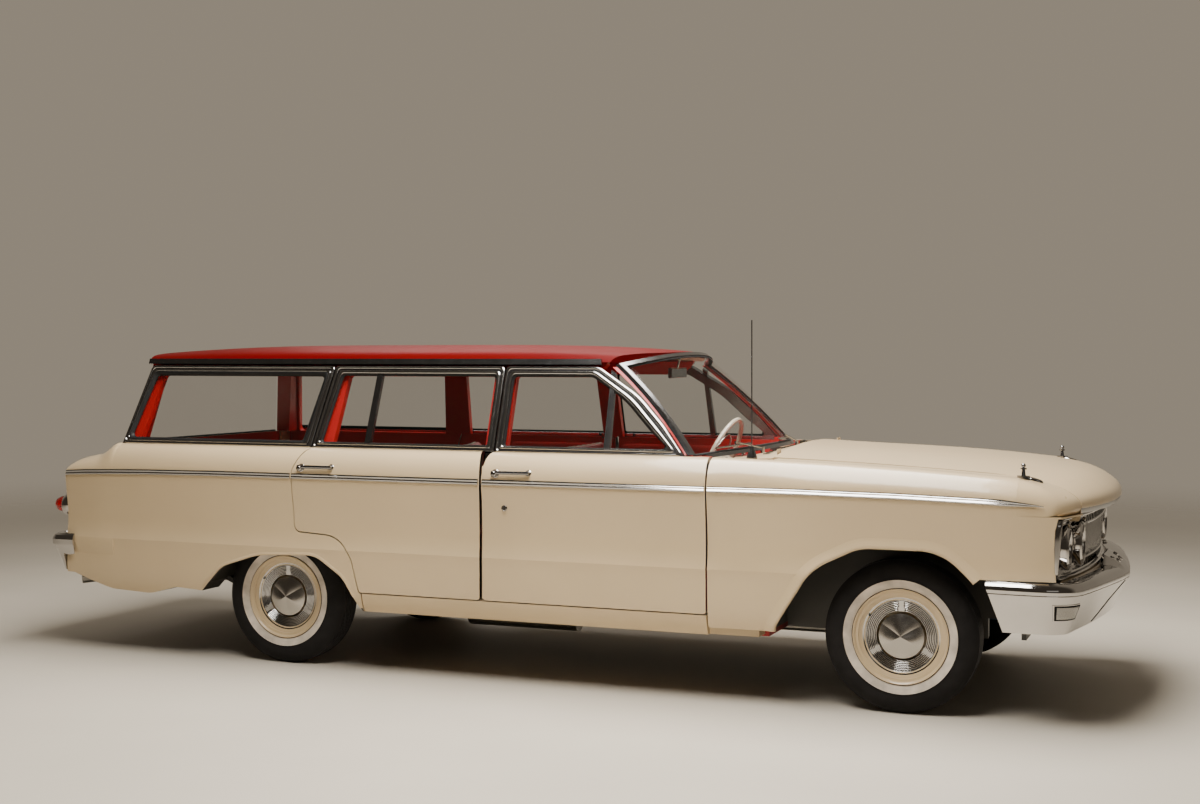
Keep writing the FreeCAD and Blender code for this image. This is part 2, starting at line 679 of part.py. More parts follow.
def d_post():
    """The rear corner post, from the sill to the roof, beside the tailgate's glass."""
    base_z = SILL_Z + SEAT_GAP
    top_z = 1362.0
    base = polygon([(-2074, 646, base_z), (-2052, 742, base_z), (-1985, 716, base_z), (-1998, 646, base_z)])
    top = polygon([(-2014, 560, top_z), (-1992, 612, top_z), (-1915, 586, top_z), (-1928, 560, top_z)])
    return Part.makeLoft([base, top], True, True)


def rear_header():
    return box(-2010.0, -1960.0, -575, 575, 1362, 1385)


def pillars():
    left = fuse([side_rail_plate(), b_post(), d_post()])
    header = rear_header()
    roof_above = roof()
    roof_above.translate(V(0, 0, -SEAT_GAP))
    header = max(header.cut(roof_above).Solids, key=lambda piece: piece.Volume)
    return [fuse([left, mirrored(left), header])] + both(a_pillar())


def fixed_glass():
    quarter_glass = door_glass(quarter_frame_corners, 30.0)
    return [windshield()] + both(quarter_glass)


def drip_moulding():
    """The bright gutter strip along the roof's edge."""
    corners = [(-1985.0, 1358.0, 0.0), (-1985.0, 1382.0, 0.0), (330.0, 1382.0, 0.0), (330.0, 1358.0, 0.0)]
    lowered_roof = roof()
    lowered_roof.translate(V(0, 0, -SEAT_GAP))
    widened_roof = roof()
    widened_roof.translate(V(0, 3 * SEAT_GAP, 0))
    strip = lean_plate(corners, -9.0, 4.0).cut(lowered_roof).cut(roof()).cut(widened_roof)
    return max(strip.Solids, key=lambda piece: piece.Volume)


def antenna():
    base = Part.makeCone(22, 8, 46, V(1015, -742, 985), V(0, 0, 1))
    mast = cylinder(2.6, (1015, -742, 1010), (1015, -742, 1543))
    base = base.fuse(Part.makeCylinder(22, 21, V(1015, -742, 965), V(0, 0, 1)))
    raised_fender = mirrored(fender())
    raised_fender.translate(V(0, 0, SEAT_GAP))
    return max(fuse([base, mast]).cut(raised_fender).cut(mirrored(fender())).Solids, key=lambda piece: piece.Volume)


def wiper(centre_s):
    """One wiper: a pivot on the cowl, an arm, and a blade that lies on the glass."""
    x, y, z = shield_point(centre_s, -0.06, 0.0)
    tip = shield_point(centre_s - 0.26, 0.085, -16.0)
    blade_from = shield_point(centre_s - 0.08, 0.05, -11.0)
    middle = shield_point(centre_s - 0.26, 0.05, -12.0)
    blade_to = shield_point(centre_s - 0.46, 0.05, -11.0)
    post = cylinder(9.0, (x + 14, y, z - 25), (x + 14, y, z + 26))
    arm = cylinder(4.0, (x + 14, y, z + 22), tip)
    blade = fuse([cylinder(4.0, blade_from, middle), cylinder(4.0, middle, blade_to)])
    cowl_top = cowl()
    cowl_top.translate(V(0, 0, SEAT_GAP))
    whole = fuse([arm, post, cylinder(3.5, tip, middle), blade]).cut(cowl_top)
    return max(whole.Solids, key=lambda piece: piece.Volume)


def inside_mirror():
    body = prism_y(rounded_wire([(448, 1296, 8), (448, 1344, 8), (466, 1344, 8), (466, 1296, 8)]), -110, 110)
    return body.fuse(cylinder(5.0, (457, 0, 1340), (470, 0, 1394)))


def fender_ornament():
    """A turned finial on a long oval foot."""
    foot = Part.makeCylinder(24, 21, V(0, 0, -12), V(0, 0, 1))
    stem = Part.makeCone(9, 5, 30, V(0, 0, 8), V(0, 0, 1))
    collar = Part.makeCylinder(12, 5, V(0, 0, 34), V(0, 0, 1))
    head = Part.makeSphere(9, V(0, 0, 48))
    neck = Part.makeCylinder(4, 12, V(0, 0, 36), V(0, 0, 1))
    finial = placed(fuse([foot, stem, collar, neck, head]), 2075, 712, 930)
    fender_top = fender()
    fender_top.translate(V(0, 0, SEAT_GAP))
    return max(finial.cut(fender_top).Solids, key=lambda piece: piece.Volume)


def window_trim():
    quarter_ring = lean_ring(quarter_frame_corners, 30.0, 0.0, FRAME_DEPTH)
    trims = [windshield_moulding(), antenna(), inside_mirror(), wiper(0.55), wiper(-0.35)]
    return trims + both(quarter_ring) + both(drip_moulding()) + both(fender_ornament())


# Hood and nose.

HOOD_CENTRE_LINE = [(HOOD_REAR_X, 1022.0), (1471.0, 1006.0), (1893.0, 985.0), (2137.0, 957.0),
                    (2257.0, 929.0), (2335.0, 885.0), (2374.0, 835.0), (2362.0, 795.0)]
HOOD_EDGE_LINE = [(HOOD_REAR_X, 984.0), (1471.0, 970.0), (1850.0, 949.0), (2060.0, 930.0),
                  (2165.0, 908.0), (2240.0, 876.0), (2280.0, 836.0), (2268.0, 795.0)]


def hood_profile(y, share):
    """The hood's side profile at y: share 0 at the centre, 1 at the edge."""
    upper = []
    for (xc, zc), (xe, ze) in zip(HOOD_CENTRE_LINE, HOOD_EDGE_LINE):
        upper.append((xc + (xe - xc) * share, zc + (ze - zc) * share))
    lower = offset_points(upper, -HOOD_THICKNESS)
    top = [(x, y, z) for x, z in upper]
    under = [(x, y, z) for x, z in lower]
    return Part.Wire([spline(top), line(top[-1], under[-1]), spline(under), line(under[0], top[0])])


def hood():
    wires = []
    for i in range(7):
        across = -1.0 + i / 3.0
        wires.append(hood_profile(HOOD_HALF_WIDTH * across, abs(across) ** 2.2))
    return Part.makeLoft(wires, True, False)


def tunnel_tool(radius, x_from, x_to):
    """The transmission tunnel's half round, above the floor's lower face."""
    round_bar = cylinder(radius, (x_from, 0, FLOOR_Z), (x_to, 0, FLOOR_Z))
    return round_bar.common(box(x_from - 1, x_to + 1, -radius - 1, radius + 1, FLOOR_Z, FLOOR_Z + radius + 1))


def cowl_profile(y, share):
    """The panel between the windshield's foot and the hood, as a side profile at y."""
    s = y / SHIELD_CORNER_Y
    foot = shield_point(s, -0.05, 0.0, 10.0)
    hood_z = HOOD_CENTRE_LINE[0][1] + (HOOD_EDGE_LINE[0][1] - HOOD_CENTRE_LINE[0][1]) * share
    front_x = HOOD_REAR_X - GAP
    rear_z = foot[2] - 8
    return polygon([(foot[0] + 4, y, rear_z), (front_x, y, hood_z - 4), (front_x, y, hood_z - 26),
                    (foot[0] + 4, y, rear_z - 22)])


def cowl():
    """The firewall and the panel between the hood and the windshield."""
    bottom = FLOOR_Z + FLOOR_THICKNESS + SEAT_GAP
    wall = box(FIREWALL_X, FIREWALL_X + 18, -INNER_WALL_Y, INNER_WALL_Y, bottom, 958)
    wires = []
    for i in range(9):
        across = -1.0 + 0.25 * i
        wires.append(cowl_profile(HOOD_HALF_WIDTH * across, abs(across) ** 2.2))
    panel = Part.makeLoft(wires, True, False)
    sides = both(box(FRONT_DOOR_FRONT_X + 4, FIREWALL_X + 10, INNER_WALL_Y - 20, INNER_WALL_Y,
                     bottom + 90, 962))
    corners = both(box(720, FRONT_DOOR_FRONT_X + 60, HOOD_HALF_WIDTH - 15, INNER_WALL_Y - GAP - 1,
                       CORNER_TOP_Z - 24, CORNER_TOP_Z))
    hinge_block = box(HOOD_REAR_X - GAP - 3, HOOD_REAR_X + 30, 520, 580, 930, 1012)
    lowered_hood = hood()
    lowered_hood.translate(V(0, 0, -SEAT_GAP))
    hinge_block = min(hinge_block.cut(lowered_hood).Solids, key=lambda piece: piece.BoundBox.ZMin)
    hinge_block = hinge_block.cut(box(HOOD_REAR_X - GAP, HOOD_REAR_X + 40, 500, 600, 975, 1100))
    body = fuse([wall, panel] + sides + corners + both(hinge_block))
    return body.cut(tunnel_tool(TUNNEL_RADIUS + 0.3, FIREWALL_X - 20, FIREWALL_X + 60))


# Floor.

def sill():
    """The left sill below the doors, with the body side's own skin."""
    half = INNER_WALL_Y
    block = box(-716.0 + GAP, FRONT_DOOR_FRONT_X + 200, half - 60, half + 200, FLOOR_Z, DOOR_BOTTOM_Z - GAP)
    section = side_section(-1400.0, BELT_HALF_WIDTH - 1, BELT_Z, SILL_HALF_WIDTH, SILL_Z, 400.0)
    block = block.common(Part.Face(section).extrude(V(2800, 0, 0)))
    behind_fender = box(FRONT_DOOR_FRONT_X - GAP, 2000, BELT_HALF_WIDTH - BOTTOM_TUCK - PANEL - 6, 1000, 0, 500)
    return block.cut(behind_fender)


def floor_pan():
    half = INNER_WALL_Y
    top = FLOOR_Z + FLOOR_THICKNESS
    plate = box(KICK_X, FIREWALL_X + 18, -half, half, FLOOR_Z, top)
    kick = box(KICK_X - 18, KICK_X, -half + 1, half - 1, FLOOR_Z, LOAD_FLOOR_Z)
    load_top = LOAD_FLOOR_Z
    load = box(-2030.0, KICK_X, -half + 1, half - 1, load_top - LOAD_FLOOR_THICKNESS, load_top)
    load = load.fuse(box(-2268.0, -2029.0, -644, 644, load_top - LOAD_FLOOR_THICKNESS, load_top))
    load = load.fuse(box(-2020.0, -960.0, -LOAD_DECK_HALF, LOAD_DECK_HALF, load_top - 1, load_top + LOAD_DECK_RISE))
    tail_panel = box(TAIL_X, TAIL_X + 18, -640, 640, 400, 584)
    tail_roof = box(TAIL_X, -2250, -600, 600, 566, 584).fuse(box(-2268, -2250, -600, 600, 566, load_top))
    rails = both(box(-2268, KICK_X, REAR_RAIL_Y, REAR_RAIL_Y + 60, 520, load_top))
    hangers = both(box(-736, -718, REAR_RAIL_Y, REAR_RAIL_Y + 60, 405, 530))
    hinge_blocks = both(box(TAIL_X - 4, TAIL_X + 28, 420, 480, 560, TAILGATE_HINGE_Z - SEAT_GAP))
    shackles = both(box(-1800, -1764, REAR_RAIL_Y, REAR_RAIL_Y + 60, 440.4, 530))
    risers = both(box(120, 500, 300, 560, top, SEAT_UNDER_Z - SEAT_GAP))
    risers += both(box(-640, -330, 300, 560, top, SEAT_UNDER_Z - SEAT_GAP))
    body = fuse([plate, kick, load, tail_panel, tail_roof, tunnel_tool(TUNNEL_RADIUS, KICK_X - 18, FIREWALL_X + 18)]
                + rails + hangers + shackles + risers + hinge_blocks + both(sill()))
    body = body.cut(tunnel_tool(TUNNEL_RADIUS - TUNNEL_WALL, KICK_X - 60, FIREWALL_X + 60))
    for house in both(wheel_house(HOUSE_RADIUS + SEAT_GAP, HOUSE_INNER_Y - SEAT_GAP, 1000)):
        body = body.cut(house)
    return body


# Wheels.

def tyre(centre_y):
    """A tyre by revolution, centred on the wheel plane, with a round shoulder."""
    half = TYRE_WIDTH / 2
    r = TYRE_RADIUS
    bead = RIM_RADIUS - 12
    profile = [
        (bead, -RIM_WIDTH / 2 + 10), (bead + 14, -RIM_WIDTH / 2 - 6), (bead + 60, -half), (r - 34, -half + 8),
        (r - 10, -half + 26), (r, -half + 48), (r, half - 48), (r - 10, half - 26), (r - 34, half - 8),
        (bead + 60, half), (bead + 14, RIM_WIDTH / 2 + 6), (bead, RIM_WIDTH / 2 - 10),
    ]
    wire = polygon([(0, y, radius) for radius, y in profile])
    solid = Part.Face(wire).revolve(V(0, 0, 0), V(0, 1, 0), 360)
    solid.translate(V(0, centre_y, 0))
    return solid


def wheel():
    """The pressed rim with its full cover and drum, turned about Y, outer face towards +Y."""
    half = RIM_WIDTH / 2
    bead = RIM_RADIUS - 12 - SEAT_GAP
    lip = RIM_RADIUS + 8
    barrel = bead - 24
    profile = [
        (0, 74), (40, 68), (96, 48), (100, 46), (139, 50), (154, 56), (158, 46), (RIM_RADIUS - 16, 52),
        (lip, half + 11), (lip, half + 8), (bead, half + 2), (bead, half - 4), (barrel, half - 14),
        (barrel, -half + 14), (bead, -half + 4), (bead, -half - 2), (lip, -half - 8), (lip, -half - 11),
        (bead - 4, -half - 8), (barrel - 10, -half + 12), (barrel - 10, 20), (120, 24), (118, -20),
        (HUB_BORE, -20), (HUB_BORE, 30), (0, 30),
    ]
    wire = polygon([(0, y, radius) for radius, y in profile])
    return Part.Face(wire).revolve(V(0, 0, 0), V(0, 1, 0), 360)


def placed(shape, x, y, z):
    moved = shape.copy()
    moved.translate(V(x, y, z))
    return moved


# Front suspension and steering.

def knuckle():
    """The left knuckle: spindle, upright, steering arm and brake backing plate."""
    y_wheel = FRONT_TRACK / 2
    z = TYRE_RADIUS
    spindle = cylinder(HUB_BORE - SEAT_GAP, (0, KINGPIN_Y, z), (0, y_wheel + 29, z))
    plate = cylinder(112, (0, y_wheel - 34, z), (0, y_wheel - 28, z))
    upright = cylinder(18, (0, KINGPIN_Y, z - 100), (0, KINGPIN_Y, z + 120))
    arm = box(-130, 0, KINGPIN_Y - 18, KINGPIN_Y + 2, z - 62, z - 44)
    return placed(fuse([spindle, plate, upright, arm]), FRONT_AXLE_X, 0, 0)


def front_suspension():
    """The crossmember with its engine pads, the lower arms, and the upper arms on the aprons."""
    x = FRONT_AXLE_X
    z = TYRE_RADIUS
    beam = box(x - 60, x + 60, -400, 400, 178, FLOOR_Z)
    pads = both(box(x - 40, x + 40, 90, 170, FLOOR_Z - 1, ENGINE_BOTTOM_Z - SEAT_GAP))
    lower = fuse([box(x - 26, x + 26, 380, KINGPIN_Y, z - 122, z - 104),
                  cylinder(24, (x, KINGPIN_Y, z - 124), (x, KINGPIN_Y, z - 100 - SEAT_GAP))])
    base_y = STEER_CLEAR_Y + SEAT_GAP
    upper = fuse([box(x - 22, x + 22, base_y, KINGPIN_Y, z + 124, z + 140),
                  box(x - 50, x + 50, base_y, base_y + 14, z + 110, z + 156),
                  cylinder(22, (x, KINGPIN_Y, z + 120 + SEAT_GAP), (x, KINGPIN_Y, z + 142))])
    return [fuse([beam] + pads + both(lower))] + both(upper)


def apron():
    """The inner wing between the engine bay and the front wheel, on the left."""
    y0 = STEER_CLEAR_Y - 12
    y1 = STEER_CLEAR_Y
    rear = FIREWALL_X + 18 + SEAT_GAP
    points = [(rear, y0, 262.6), (rear, y1, 262.6), (rear, y1, 760), (rear, 640, 876), (rear, 640, 890),
              (rear, y0, 770)]
    wall = Part.Face(polygon(points)).extrude(V(2062 - rear, 0, 0))
    rail = box(rear, 1900, y0 - 60, y0 + 1, 262.6, 350)
    front_rail = box(1850, 2180, y0 - 60, y0 + 1, 345, 430)
    wall = wall.cut(box(1905, 2100, 0, 1000, 200, 345))
    return fuse([wall, rail, front_rail])


def fender_bracket(x):
    """The upright tab on the apron's edge that carries the fender's top flange."""
    tab = box(x, x + 30, 628, 690, 873, 889).fuse(box(x, x + 30, HOOD_HALF_WIDTH + 9, 690, 873, 985))
    fender_top = fender()
    fender_top.translate(V(0, 0, -SEAT_GAP))
    return min(tab.cut(fender_top).Solids, key=lambda piece: piece.BoundBox.ZMin)


def front_structure():
    """Aprons with their rails, radiator support with its core, and the panel below the grille."""
    support = box(2060, 2078, -650, 650, 300, 862)
    support = support.cut(box(2050, 2090, -262, 262, 430, 810))
    core = box(2055, 2083, -263, 263, 429, 811)
    pan = box(2070, 2216, -800, 800, 512, GRILLE_BOTTOM_Z - SEAT_GAP)
    lip = box(2198, 2216, -800, 800, 440, 530)
    horns = both(box(2170, 2286, 380, 420, 400, 448))
    posts = both(box(2078, 2199, 380, 420, 400, 520))
    brackets = both(fender_bracket(1200.0)) + both(fender_bracket(2030.0))
    return fuse([support, core, pan, lip] + both(apron()) + horns + posts + brackets)


def engine():
    """The engine and its gearbox as one plain block."""
    block = box(1160, 1960, -170, 170, ENGINE_BOTTOM_Z, 800)
    gearbox = cylinder(88, (640, 0, 290), (1165, 0, 290))
    return block.fuse(gearbox)


def rear_axle():
    """The live axle with its case, brake plates and the driveshaft up to the gearbox."""
    x = REAR_AXLE_X
    z = TYRE_RADIUS
    half = REAR_TRACK / 2
    tube = cylinder(38, (x, -half + 40, z), (x, half - 40, z))
    case = Part.makeSphere(120, V(x, 0, z))
    plates = both(cylinder(112, (x, half - 34, z), (x, half - 28, z)))
    shaft = cylinder(36, (x + 100, 0, z), (640 - SEAT_GAP, 0, 290))
    hubs = both(cylinder(HUB_BORE - SEAT_GAP, (x, half - 50, z), (x, half + 29, z)))
    return fuse([tube, case, shaft] + plates + hubs)


def leaf_spring():
    """The left leaf spring, from the front hanger under the axle to the rear shackle."""
    y = REAR_RAIL_Y + 2
    seat_z = TYRE_RADIUS - 38 - SEAT_GAP
    points = [(-736.0 - SEAT_GAP, 436.0), (REAR_AXLE_X + 220, 300.0), (REAR_AXLE_X, seat_z),
              (REAR_AXLE_X - 300, 300.0), (-1790.0, 440.0)]
    lower = [(px, pz - SPRING_THICKNESS) for px, pz in points]
    top = [(px, y, pz) for px, pz in points]
    under = [(px, y, pz) for px, pz in lower]
    wire = Part.Wire([spline(top), line(top[-1], under[-1]), spline(under), line(under[0], top[0])])
    return Part.Face(wire).extrude(V(0, 56, 0))


def fuel_tank():
    top = LOAD_FLOOR_Z - LOAD_FLOOR_THICKNESS - SEAT_GAP
    wire = rounded_wire([(-2180, 420, 30), (-2180, top, 0), (-1660, top, 0), (-1660, 400, 40)])
    return prism_y(wire, -300, 300)


def tube(points, radius):
    """An eight-sided pipe through the points, mitred at its bends."""
    sections = []
    last = len(points) - 1
    for i, point in enumerate(points):
        here = V(*point)
        before = V(*points[max(i - 1, 0)])
        after = V(*points[min(i + 1, last)])
        run_in = (here - before) if i > 0 else (after - here)
        run_out = (after - here) if i < last else (here - before)
        normal = (V(run_in).normalize() + V(run_out).normalize()).normalize()
        side = normal.cross(V(0, 0, 1)).normalize()
        up = side.cross(normal).normalize()
        ring = []
        for k in range(8):
            turn = math.radians(22.5 + 45 * k)
            corner = here + side * (radius * math.cos(turn)) + up * (radius * math.sin(turn))
            ring.append((corner.x, corner.y, corner.z))
        sections.append(polygon(ring))
    return Part.makeLoft(sections, True, True)


def exhaust():
    """One pipe from the engine over the axle to the tail, with its silencer."""
    pipe = tube([(1400, -215, 330), (1190, -215, 232), (-760, -215, 232), (-960, -300, 400), (-1450, -300, 410),
                 (-1640, -420, 330), (-2180, -440, 330), (-2395, -640, 305)], 24)
    silencer = cylinder(58, (-480, -215, 200), (60, -215, 200))
    hanger = box(-2120, -2100, -452, -428, 330, LOAD_FLOOR_Z - LOAD_FLOOR_THICKNESS - SEAT_GAP)
    return fuse([pipe, silencer, hanger])


# Lamps, grille and bumpers.

def bumper_line(points, inset_x, inset_y, z):
    """The plan line at a height, drawn in from the middle and from the sides, its ends kept."""
    end_x = points[0][0]
    middle_x = points[-1][0]
    end_y = points[0][1]
    x_scale = 1 - inset_x / abs(middle_x - end_x)
    y_scale = 1 - inset_y / abs(end_y)
    half = [(end_x + (x - end_x) * x_scale, y * y_scale, z) for x, y in points]
    return half + [(x, -y, z) for x, y, z in reversed(half[:-1])]


def bumper_plan(points, inset_x, inset_y, thickness, z):
    a = bumper_line(points, inset_x, inset_y, z)
    b = bumper_line(points, inset_x + thickness, inset_y + min(thickness, 22.0), z)
    return Part.Wire([spline(a), line(a[-1], b[-1]), spline(b), line(b[0], a[0])])


FRONT_BUMPER_PLAN = [(1956.0, -886.0), (2110.0, -893.0), (2235.0, -868.0), (2320.0, -760.0), (2392.0, -420.0),
                     (2436.0, 0.0)]
REAR_BUMPER_PLAN = [(-2263.0, 884.0), (-2335.0, 885.0), (-2388.0, 872.0), (-2415.0, 834.0), (-2425.0, 770.0),
                    (-2432.0, 450.0), (-2436.0, 0.0)]


def bumper(points, bottom_z):
    """The pressed face, sloping in to its lower edge, and the domed roll along its top."""
    face = Part.makeLoft([bumper_plan(points, 66.0, 36.0, 22.0, bottom_z), bumper_plan(points, 3.0, 3.0, 22.0, 508.0)],
                         True, True)
    roll = Part.makeLoft([bumper_plan(points, 2.0, 2.0, 60.0, 500.0), bumper_plan(points, 0.0, 0.0, 64.0, 524.0),
                          bumper_plan(points, 9.0, 7.0, 50.0, 544.0),
                          bumper_plan(points, 28.0, 16.0, 20.0, BUMPER_TOP_Z)], True, True)
    return face.fuse(roll)


def front_bumper():
    """The bumper, with slanted ends, and its two arms back to the rail horns."""
    arms = both(box(2286 + SEAT_GAP, 2372, 384, 416, 402, 446))
    behind_ends = polygon([(x, 0, z) for x, z in BUMPER_END] + [(1800, 0, 0), (1800, 0, 600)])
    face = bumper(FRONT_BUMPER_PLAN, 358.0).cut(prism_y(behind_ends, -1000, 1000))
    return fuse([face] + arms).cut(fuse(both(parking_lamp(0.4))))


def rear_bumper():
    arms = both(box(-2390, TAIL_X - SEAT_GAP, 500, 540, 420, 470))
    ends_room = box(TAIL_X - 4, -2000, -BELT_HALF_WIDTH + 23, BELT_HALF_WIDTH - 23, 0, 700)
    return fuse([bumper(REAR_BUMPER_PLAN, 378.0).cut(ends_room)] + arms)


def parking_lamp(grow=0.0):
    """A rounded square lamp let into the bumper's corner."""
    g = grow
    wire = rounded_wire([(-45 - g, -32 - g, 14), (-45 - g, 32 + g, 14), (45 + g, 32 + g, 14), (45 + g, -32 - g, 14)])
    lamp = prism_y(wire, -14 - g, 14 + g)
    lamp.rotate(V(0, 0, 0), V(1, 0, 0), -24)
    lamp.rotate(V(0, 0, 0), V(0, 0, 1), -38)
    lamp.translate(V(2226, 828, 452))
    return lamp


def lamp_bowl(y):
    """One headlamp's bezel: a stepped ring by revolution."""
    x = LAMP_FACE_X
    outer = cylinder(LAMP_RADIUS + 18, (x - 27, y, LAMP_Z), (x + 6, y, LAMP_Z))
    hole = cylinder(LAMP_RADIUS + SEAT_GAP, (x - 40, y, LAMP_Z), (x + 20, y, LAMP_Z))
    return outer.cut(hole)


def grille_outline(inset):
    """The grille's mouth seen from the front, as an oblong with its corners cut."""
    half = GRILLE_HALF_WIDTH - inset
    low = GRILLE_BOTTOM_Z + inset
    high = GRILLE_TOP_Z - inset
    cut = GRILLE_CORNER
    return [(-half, low + cut), (-half, high - cut), (cut - half, high), (half - cut, high), (half, high - cut),
            (half, low + cut), (half - cut, low), (cut - half, low)]


def grille():
    """The bright surround, four bezels and upright bars of the grille."""
    x = LAMP_FACE_X
    surround = prism_x(grille_outline(SEAT_GAP), x - 30, x + 8).cut(prism_x(grille_outline(30.0), x - 40, x + 20))
    surround = surround.cut(prism_x(grille_outline(14.0), x - 19, x + 20))
    bezels = []
    for y in (LAMP_Y_OUTER, LAMP_Y_INNER):
        bezels += both(lamp_bowl(y))
    bars = []
    bar_span = LAMP_Y_INNER - LAMP_RADIUS - 40
    count = int(2 * bar_span / BAR_PITCH)
    for i in range(count + 1):
        y = -bar_span + 2 * bar_span * i / count
        bars.append(box(x - 25, x - 14, y - 3, y + 3, GRILLE_BOTTOM_Z + 10, GRILLE_TOP_Z - 10))
    cross = [box(x - 29, x - 21, -795, 795, z - 5, z + 5) for z in (LAMP_Z - 70, LAMP_Z, LAMP_Z + 70)]
    body = fuse([surround] + cross + bars + bezels)
    for y in (LAMP_Y_OUTER, LAMP_Y_INNER):
        for lamp_hole in both(cylinder(LAMP_RADIUS + SEAT_GAP, (x - 60, y, LAMP_Z), (x + 20, y, LAMP_Z))):
            body = body.cut(lamp_hole)
    return body


def prism_x(points, x_from, x_to):
    return Part.Face(polygon([(x_from, y, z) for y, z in points])).extrude(V(x_to - x_from, 0, 0))


def headlamp(y):
    """A round sealed lamp with a domed face."""
    x = LAMP_FACE_X
    body = cylinder(LAMP_RADIUS, (x - 34, y, LAMP_Z), (x - 4, y, LAMP_Z))
    dome = Part.makeSphere(LAMP_RADIUS * 2, V(x + 10 - LAMP_RADIUS * 2, y, LAMP_Z))
    bar = cylinder(LAMP_RADIUS, (x - 30, y, LAMP_Z), (x + 40, y, LAMP_Z))
    return body.fuse(dome.common(bar))


def front_lamps():
    return both(headlamp(LAMP_Y_OUTER)) + both(headlamp(LAMP_Y_INNER)) + both(parking_lamp())


def tail_lamp_seat():
    """The round recess in the quarter's end that the tail lamp sits in."""
    return cylinder(TAIL_LAMP_RADIUS + SEAT_GAP, (TAIL_X - 60, TAIL_LAMP_Y, TAIL_LAMP_Z),
                    (TAIL_X + 20, TAIL_LAMP_Y, TAIL_LAMP_Z))


def tail_lamps():
    """Round lamps that stand out behind the fins: a bright collar and a stepped red cone."""
    r = TAIL_LAMP_RADIUS
    profile = [(0, 20), (r, 20), (r, -30), (r - 5, -42), (r - 10, -44), (r - 13, -74), (r - 22, -94),
               (r - 36, -102), (0, -104)]
    wire = polygon([(TAIL_X + x - SEAT_GAP, TAIL_LAMP_Y + radius, TAIL_LAMP_Z) for radius, x in profile])
    lamp = Part.Face(wire).revolve(V(0, TAIL_LAMP_Y, TAIL_LAMP_Z), V(1, 0, 0), 360)
    return both(lamp)


# Cabin.

def dashboard():
    """The dash across the cabin, with its hood over the dials."""
    wire = rounded_wire([(FIREWALL_X - SEAT_GAP, 800, 0), (FIREWALL_X - SEAT_GAP, 920, 0), (900, 934, 20),
                         (800, 915, 40), (790, 870, 30), (850, 800, 30)])
    return prism_y(wire, -INNER_WALL_Y + 25, INNER_WALL_Y - 25)


def column_point(share):
    """A point on the steering column's line: 0 at the firewall, 1 at the steering wheel's hub."""
    foot = V(FIREWALL_X - SEAT_GAP, COLUMN_Y, COLUMN_FOOT_Z)
    hub = V(COLUMN_HUB_X, COLUMN_Y, COLUMN_HUB_Z)
    return foot + (hub - foot) * share


def steering_column():
    """The column from the firewall, hung from the dash by one bracket."""
    foot = column_point(0.0)
    length = (column_point(1.0) - column_point(0.0)).Length
    end = column_point(1.0 - (HUB_DEPTH + 1) / length)
    axis = end - foot
    jacket = Part.makeCylinder(24, axis.Length, foot, axis)
    jacket = jacket.common(box(0, FIREWALL_X - SEAT_GAP, 0, 1000, 0, 1200))
    bracket = box(868, 900, COLUMN_Y - 30, COLUMN_Y + 30, 740, 800 - SEAT_GAP)
    return fuse([jacket, bracket])


def steering_wheel():
    """A thin two-spoke wheel with its hub and horn ring, square to the column."""
    octagon = []
    for i in range(8):
        turn = math.radians(22.5 + 45 * i)
        octagon.append((WHEEL_RIM_RADIUS + 11 * math.cos(turn), 0, 11 * math.sin(turn)))
    rim = Part.Face(polygon(octagon)).revolve(V(0, 0, 0), V(0, 0, 1), 360)
    axis = column_point(0.0) - column_point(1.0)
    hub = Part.makeCone(34, 26, HUB_DEPTH - 10, V(0, 0, 10), V(0, 0, 1))
    cap = Part.makeCylinder(34, 18, V(0, 0, -6), V(0, 0, 1))
    spoke_half = WHEEL_RIM_RADIUS - 4
    spokes = box(-14, 14, -spoke_half, spoke_half, -2, 8)
    shape = fuse([rim, hub, cap, spokes])
    shape.Placement = FreeCAD.Placement(column_point(1.0), FreeCAD.Rotation(V(0, 0, 1), axis))
    return shape


def bench(x_front, x_rear, z_under, z_top, half):
    wire = rounded_wire([(x_rear, z_under, 20), (x_rear, z_top - 24, 40), (x_front, z_top, 56), (x_front, z_under, 40)])
    return prism_y(wire, -half, half)


def seat_back(x_foot, thickness, z_foot, z_top, rake, half):
    """A raked back rest whose lower front edge meets the bench."""
    round_top = 0.38 * thickness
    wire = rounded_wire([(x_foot - thickness, z_foot, 20), (x_foot - thickness - rake, z_top, round_top),
                         (x_foot - rake - 12, z_top + 6, round_top), (x_foot, z_foot, 2)])
    return prism_y(wire, -half, half)


def front_seat():
    return [bench(560, 20, SEAT_UNDER_Z, 590, 690), seat_back(20 - SEAT_GAP, 130, SEAT_UNDER_Z + 26, 985, 120, 690)]


def rear_seat():
    return [bench(-250, -696, SEAT_UNDER_Z, 600, 690),
            seat_back(-702, 90, LOAD_FLOOR_Z + SEAT_GAP, 965, 110, 660)]


# Tailgate.

def tailgate_shell():
    """The drop gate: its outer skin, its shelf under the glass, and the slot for the glass."""
    x = TAILGATE_HINGE_X
    inner_x = x + TAILGATE_THICKNESS
    outline = rounded_wire([(x, TAILGATE_HINGE_Z, 0), (x - 6, 720, 0), (x + 2, 846, 40), (-2258, 911, 60),
                            (-2146, 936, 40), (-2092, 979, 20), (-2074, SILL_Z, 0), (-2052, SILL_Z, 0),
                            (-2052, SILL_Z - 50, 0), (-2200, 866, 30),
                            (inner_x, 800, 30), (inner_x, TAILGATE_HINGE_Z, 0)])
    return prism_y(outline, -TAILGATE_HALF_WIDTH, TAILGATE_HALF_WIDTH)


